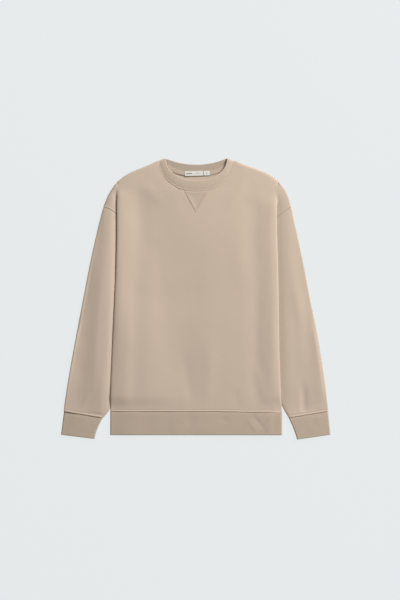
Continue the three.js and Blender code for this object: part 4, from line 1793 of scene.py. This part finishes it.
@dataclass
class NeckTriangle:
    """The triangle let into the front under the collar, slightly hollow between its seams."""

    half: float = 31.4
    top_y: float = 267.6
    tip_y: float = 214.8
    dish: float = 0.7
    tip_half: float = 0.7
    bow: float = 0.0031
    aside: float = -0.3

    def spot(self, t: float, up: float) -> tuple[float, float]:
        """Give a place on the triangle from shares of its width and height.

        Args:
            t: the place across, from -1 to 1.
            up: the place from the tip up, from 0 to 1.

        Returns:
            The place along X and Y.
        """
        across = t * self.half
        high = self.top_y + self.bow * across * across
        return t * mix(self.tip_half, self.half, up) + self.aside, mix(self.tip_y, high, up)

    def top(self, shape: FrontShape, t: float, up: float, over: float) -> Vector:
        """Give a point of its middle surface, or above it.

        Args:
            shape: the front beneath.
            t: the place across, from -1 to 1.
            up: the place from the tip up, from 0 to 1.
            over: how far above it.

        Returns:
            The point.
        """
        x, y = self.spot(t, up)
        edge = min((1 - abs(t)) * mix(self.tip_half, self.half, up), (1 - up) * 50)
        hollow = self.dish * smooth(edge / 13) * smooth(up / 0.5)
        z = shape.height(x, y) + CLOTH / 2 - PATCH / 2 + 0.3 - hollow
        return Vector((x, y, z - 0.4 * (1 - smooth(edge / 1.4)) + over))

    @staticmethod
    def inside(x: float, y: float) -> float:
        """Find how far inside the triangle's sides a point lies; it is negative outside.

        Args:
            x: the place along X.
            y: the place along Y.

        Returns:
            The distance in millimetres.
        """
        own, away = NeckTriangle(), -99.0
        if y < own.tip_y - 8 or y > 276:
            return away
        tall = own.top_y - own.tip_y
        lean = math.hypot(own.half, tall) / tall
        beside = (own.half * (y - own.tip_y) / tall - abs(x - own.aside)) / lean
        above = own.top_y + own.bow * x * x - y
        return min(beside, above) if above > -1 else away

    def build(self, garment: Garment) -> bpy.types.Object:
        """Make the triangle and enter it.

        Args:
            garment: where it is entered.

        Returns:
            The triangle.
        """
        shape = FrontShape(LEFT_CUT)
        shape.recess = 0.0
        rows = []
        for up in steps(0, 1, 44):
            points = [self.top(shape, t, up, 0.0) for t in steps(-1, 1, 41)]
            rows.append(measured(points, up * 53, -self.half * up))
        piece = surface("neck_triangle_cloth", [rows], [False])
        thicken(piece, PATCH)
        garment.dress(piece, TRIANGLE_JERSEY, "jersey", "neck_triangle")
        return piece


@dataclass
class NeckTape:
    """The tape over the back neck seam, with two woven labels that carry plain bars.

    A label is given by its middle, its width and its height, and turn is how far both lean.
    """

    half: float = 5.5
    main: tuple[float, float, float, float] = (-6.0, 313.1, 45.5, 11.6)
    size_tab: tuple[float, float, float, float] = (26.2, 313.9, 14.4, 11.2)
    turn: float = 1.6
    corner: float = 1.1
    gap: float = 0.2

    def line(self) -> list[Vector]:
        """Give the tape's middle line, from the wearer's right to the left.

        Returns:
            Evenly spaced points.
        """
        last = len(NECK_SEAM) - 1
        half = [through(NECK_SEAM, s) for s in steps(NECK_TURN + 3, last, 60)]
        line = [Vector((-p.x, p.y, 0)) for p in half[:-1]]
        return even([*line, *[Vector((p.x, p.y, 0)) for p in reversed(half)]], 120)

    def build(self, garment: Garment) -> None:
        """Make the tape and the labels and enter them.

        Args:
            garment: where they are entered.
        """
        middle = RIB + 0.3 + TAPE / 2
        top = middle + TAPE / 2 + self.gap
        line = self.line()
        rows = []
        for i, point in enumerate(line):
            ahead = line[min(i + 1, len(line) - 1)] - line[max(i - 1, 0)]
            across = Vector((-ahead.y, ahead.x, 0)).normalized()
            points = []
            for t in steps(-1, 1, 9):
                spot = point + across * self.half * t
                points.append(Vector((spot.x, spot.y, middle + 0.25 * (1 - t * t))))
            rows.append(measured(points, i * 1.4))
        tape = surface("neck_tape_cloth", [rows], [True])
        thicken(tape, TAPE)
        garment.dress(tape, SHADED_TAPE_TWILL, "tape", "neck_tape")
        for name, node, (x, y, wide, tall) in (
            ("label_cloth_main", "label_main", self.main),
            ("label_cloth_size", "label_size", self.size_tab),
        ):
            label = self.label(name, x, y, wide, tall, top + LABEL / 2)
            garment.dress(label, LABEL_WEAVE, "label", node)
        self.marks(garment, top + LABEL + self.gap)

    def leaned(self, x: float, y: float, across: float, up: float) -> tuple[float, float]:
        """Turn a place on a label with it.

        Args:
            x: the label's middle along X.
            y: its middle along Y.
            across: the place along its width.
            up: the place along its height.

        Returns:
            Where that is on the garment.
        """
        cos, sin = math.cos(math.radians(self.turn)), math.sin(math.radians(self.turn))
        return x + across * cos - up * sin, y + across * sin + up * cos

    def marks(self, garment: Garment, z: float) -> None:
        """Weave plain bars into the labels.

        Args:
            garment: where the bars are entered.
            z: height of the labels' tops.
        """
        mesh = bmesh.new()
        for (x, y, _, _), (dx, dy, wide, tall) in (
            (self.main, (-11.5, 0.0, 15.0, 2.4)),
            (self.main, (9.5, 0.2, 14.0, 0.9)),
            (self.size_tab, (-0.5, 0.0, 2.8, 2.8)),
        ):
            corners = [
                self.leaned(x, y, dx + px * wide / 2, dy + py * tall / 2)
                for px, py in ((-1, -1), (1, -1), (1, 1), (-1, 1))
            ]
            low, high = (
                [mesh.verts.new(Vector((cx, cy, z + rise)) * MM) for cx, cy in corners]
                for rise in (-0.1, 0.12)
            )
            mesh.faces.new(reversed(low))
            mesh.faces.new(high)
            for i in range(4):
                n = (i + 1) % 4
                mesh.faces.new((low[i], low[n], high[n], high[i]))
        garment.dress(placed("label_marks", mesh), LABEL_THREAD, "label")

    def label(
        self, name: str, x: float, y: float, wide: float, tall: float, z: float
    ) -> bpy.types.Object:
        """Make a woven label with rounded corners and a raised woven border.

        Args:
            name: the piece's name.
            x: its middle along X.
            y: its middle along Y.
            wide: its width.
            tall: its height.
            z: height of its middle surface.

        Returns:
            The label.
        """
        core_x, core_y = wide / 2 - self.corner, tall / 2 - self.corner
        rows = []
        for b in steps(-1, 1, 17):
            points = []
            for a in steps(-1, 1, 41):
                px, py = a * wide / 2, b * tall / 2
                over_x, over_y = abs(px) - core_x, abs(py) - core_y
                if over_x > 0 and over_y > 0:
                    far = max(over_x, over_y) / math.hypot(over_x, over_y)
                    px = math.copysign(core_x + over_x * far, px)
                    py = math.copysign(core_y + over_y * far, py)
                edge = min(wide / 2 - abs(px), tall / 2 - abs(py))
                lift = 0.14 * math.exp(-(((edge - 0.9) / 0.5) ** 2)) + 0.25 * (1 - b * b)
                points.append(Vector((*self.leaned(x, y, px, py), z + lift)))
            rows.append(measured(points, b * tall / 2))
        piece = surface(name, [rows], [False])
        thicken(piece, LABEL)
        return piece


@dataclass
class Stitching:
    """Rows of sewn stitches, each a short rounded thread that dips at both ends."""

    pitch: float = 3.0
    long: float = 2.5
    thick: float = 0.55
    sides: int = 5
    beside_collar: tuple[float, float] = (1.7, STITCH_GAP)
    above_hem: tuple[float, float] = (1.0, SEAM_BAND + 0.6)
    hem_half: float = 206.0

    def sew(self, name: str, lines: Sequence[Sequence[Vector]], garment: Garment) -> None:
        """Sew along lines.

        Args:
            name: the piece's name.
            lines: the lines, on the cloth's surface.
            garment: where the piece is entered.
        """
        mesh = bmesh.new()
        for line in lines:
            total = sum((b - a).length for a, b in zip(line, line[1:]))
            spots = even(line, max(2, round(total / self.pitch)) + 1)
            for a, b in zip(spots, spots[1:]):
                self.stitch(mesh, a, b)
        piece = placed(name, mesh)
        bpy.ops.object.shade_smooth()
        garment.dress(piece, THREAD, "jersey")

    def stitch(self, mesh: bmesh.types.BMesh, start: Vector, end: Vector) -> None:
        """Add one stitch between two spots.

        Args:
            mesh: what it is added to.
            start: the first spot.
            end: the second.
        """
        along = (end - start).normalized()
        side = along.cross(Vector((0, 0, 1))).normalized()
        up = side.cross(along)
        middle = (start + end) / 2
        half, r = self.long / 2, self.thick / 2
        rings = []
        for t, wide, rise in ((-0.8, 0.75, -0.1), (0.0, 1.0, 0.25), (0.8, 0.75, -0.1)):
            centre = middle + along * half * t + up * rise * r * 2
            ring = []
            for k in range(self.sides):
                a = 2 * math.pi * k / self.sides
                spot = centre + (side * math.cos(a) + up * math.sin(a) * 0.8) * r * wide
                ring.append(mesh.verts.new(spot * MM))
            rings.append(ring)
        tips = [mesh.verts.new((middle + along * half * t - up * r * 0.7) * MM) for t in (-1, 1)]
        turns = [(k, (k + 1) % self.sides) for k in range(self.sides)]
        for a, b in zip(rings, rings[1:]):
            for k, n in turns:
                mesh.faces.new((a[k], a[n], b[n], b[k]))
        for k, n in turns:
            mesh.faces.new((tips[0], rings[0][n], rings[0][k]))
            mesh.faces.new((tips[1], rings[-1][k], rings[-1][n]))

    def build(self, garment: Garment) -> None:
        """Sew all the rows that show.

        Args:
            garment: where they are entered.
        """
        shapes = {cut.side: FrontShape(cut) for cut in CUTS}
        top = CLOTH / 2 + 0.1

        def on_front(x: float, y: float) -> Vector:
            """Put a spot on top of the front."""
            side = Wearer.LEFT if x > 0 else Wearer.RIGHT
            return Vector((x, y - seam_drop(x, y), shapes[side].height(x, y) + top))

        collar = []
        for away in self.beside_collar:
            line = []
            for s in steps(0, NECK_TURN - 1.2, 56):
                seam, free = through(NECK_SEAM, s), through(NECK_FREE, s)
                line.append(seam.to_2d() + (seam - free).to_2d().normalized() * away)
            collar += [[on_front(sign * x, y) for x, y in line] for sign in (-1, 1)]
        self.sew("stitches_collar", collar, garment)
        self.sew("stitches_hem", [
            [on_front(x, HEM_TOP_Y + away) for x in steps(-self.hem_half, self.hem_half, 160)]
            for away in self.above_hem
        ], garment)
        triangle, shape = NeckTriangle(), shapes[Wearer.LEFT]
        shape.recess = 0.0
        lines = []
        for sign in (-1, 1):
            for inward, low in ((1.6, 0.12), (4.4, 0.2)):
                spots = []
                for up in steps(low, 0.97, 24):
                    t = 1 - inward / mix(triangle.tip_half, triangle.half, up)
                    spots.append(triangle.top(shape, sign * t, up, PATCH / 2 + 0.1))
                lines.append(spots)
        self.sew("stitches_triangle", lines, garment)


@dataclass
class Studio:
    """The floor, the light and the camera.

    A pixel of the picture, its centre and the height where that scale holds are in millimetres;
    the lamp's size and place are in metres.
    """

    pixel: float = 2.5
    centre: tuple[float, float] = (9.25, -3.5)
    lens: float = 100.0
    sensor: float = 36.0
    picture_high: int = 600
    scale_at: float = 8.0
    floor_size: float = 12.0
    floor_low: float = 0.6
    glow: float = 0.965
    sky: float = 0.32
    lamp_size: float = 1.9
    lamp_power: float = 266.0
    lamp_place: tuple[float, float, float] = (2.75, 2.45, 2.35)

    def floor(self) -> None:
        """Lay the pale floor."""
        bpy.ops.object.select_all(action="DESELECT")
        low = (0, 0, -self.floor_low * MM)
        bpy.ops.mesh.primitive_plane_add(size=self.floor_size, location=low)
        plane = bpy.context.object
        plane.name = "studio_floor"
        bpy.ops.object.transform_apply(location=True, rotation=False, scale=False)
        made, shader = new_material("studio_floor")
        fill(made.node_tree, shader, {
            "Base Color": (0.03, 0.031, 0.032, 1),
            "Roughness": 0.95,
            "Specular IOR Level": 0.0,
            "Emission Color": (0.791, 0.823, 0.831, 1),
            "Emission Strength": self.glow,
        })
        plane.data.materials.append(made)

    def light(self) -> None:
        """Set a soft light from the wearer's left and an even sky."""
        world = bpy.data.worlds.new("studio_sky")
        bpy.context.scene.world = world
        world.use_nodes = True
        sky = world.node_tree.nodes["Background"]
        sky.inputs["Color"].default_value = (1, 1, 1, 1)
        sky.inputs["Strength"].default_value = self.sky
        lamp = bpy.data.lights.new("key", "AREA")
        lamp.shape = "SQUARE"
        lamp.size = self.lamp_size
        lamp.energy = self.lamp_power
        holder = bpy.data.objects.new("key", lamp)
        holder.location = self.lamp_place
        holder.rotation_euler = Vector(self.lamp_place).to_track_quat("Z", "Y").to_euler()
        bpy.context.collection.objects.link(holder)

    def camera(self) -> None:
        """Hang the camera straight above the garment."""
        lens = bpy.data.cameras.new("camera")
        lens.lens = self.lens
        lens.sensor_width = self.sensor
        away = self.picture_high * self.pixel * MM * self.lens / self.sensor
        holder = bpy.data.objects.new("camera", lens)
        away += self.scale_at * MM
        holder.location = (self.centre[0] * MM, self.centre[1] * MM, away)
        bpy.context.collection.objects.link(holder)
        bpy.context.scene.camera = holder
        bpy.context.scene.view_settings.view_transform = "Standard"
        bpy.context.scene.view_settings.look = "None"


def main() -> None:
    """Build the sweatshirt and the studio."""
    logging.basicConfig(level=logging.INFO, format="%(message)s")
    garment = Garment()
    BackPanel().build(garment)
    for cut in CUTS:
        Sleeve(cut).build(garment)
        Cuff(cut).build(garment)
    HemBand().build(garment)
    FrontPanel().build(garment)
    Collar().build(garment)
    NeckTriangle().build(garment)
    NeckTape().build(garment)
    Stitching().build(garment)
    studio = Studio()
    studio.floor()
    studio.light()
    studio.camera()
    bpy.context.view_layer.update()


if __name__ == "__main__":
    main()
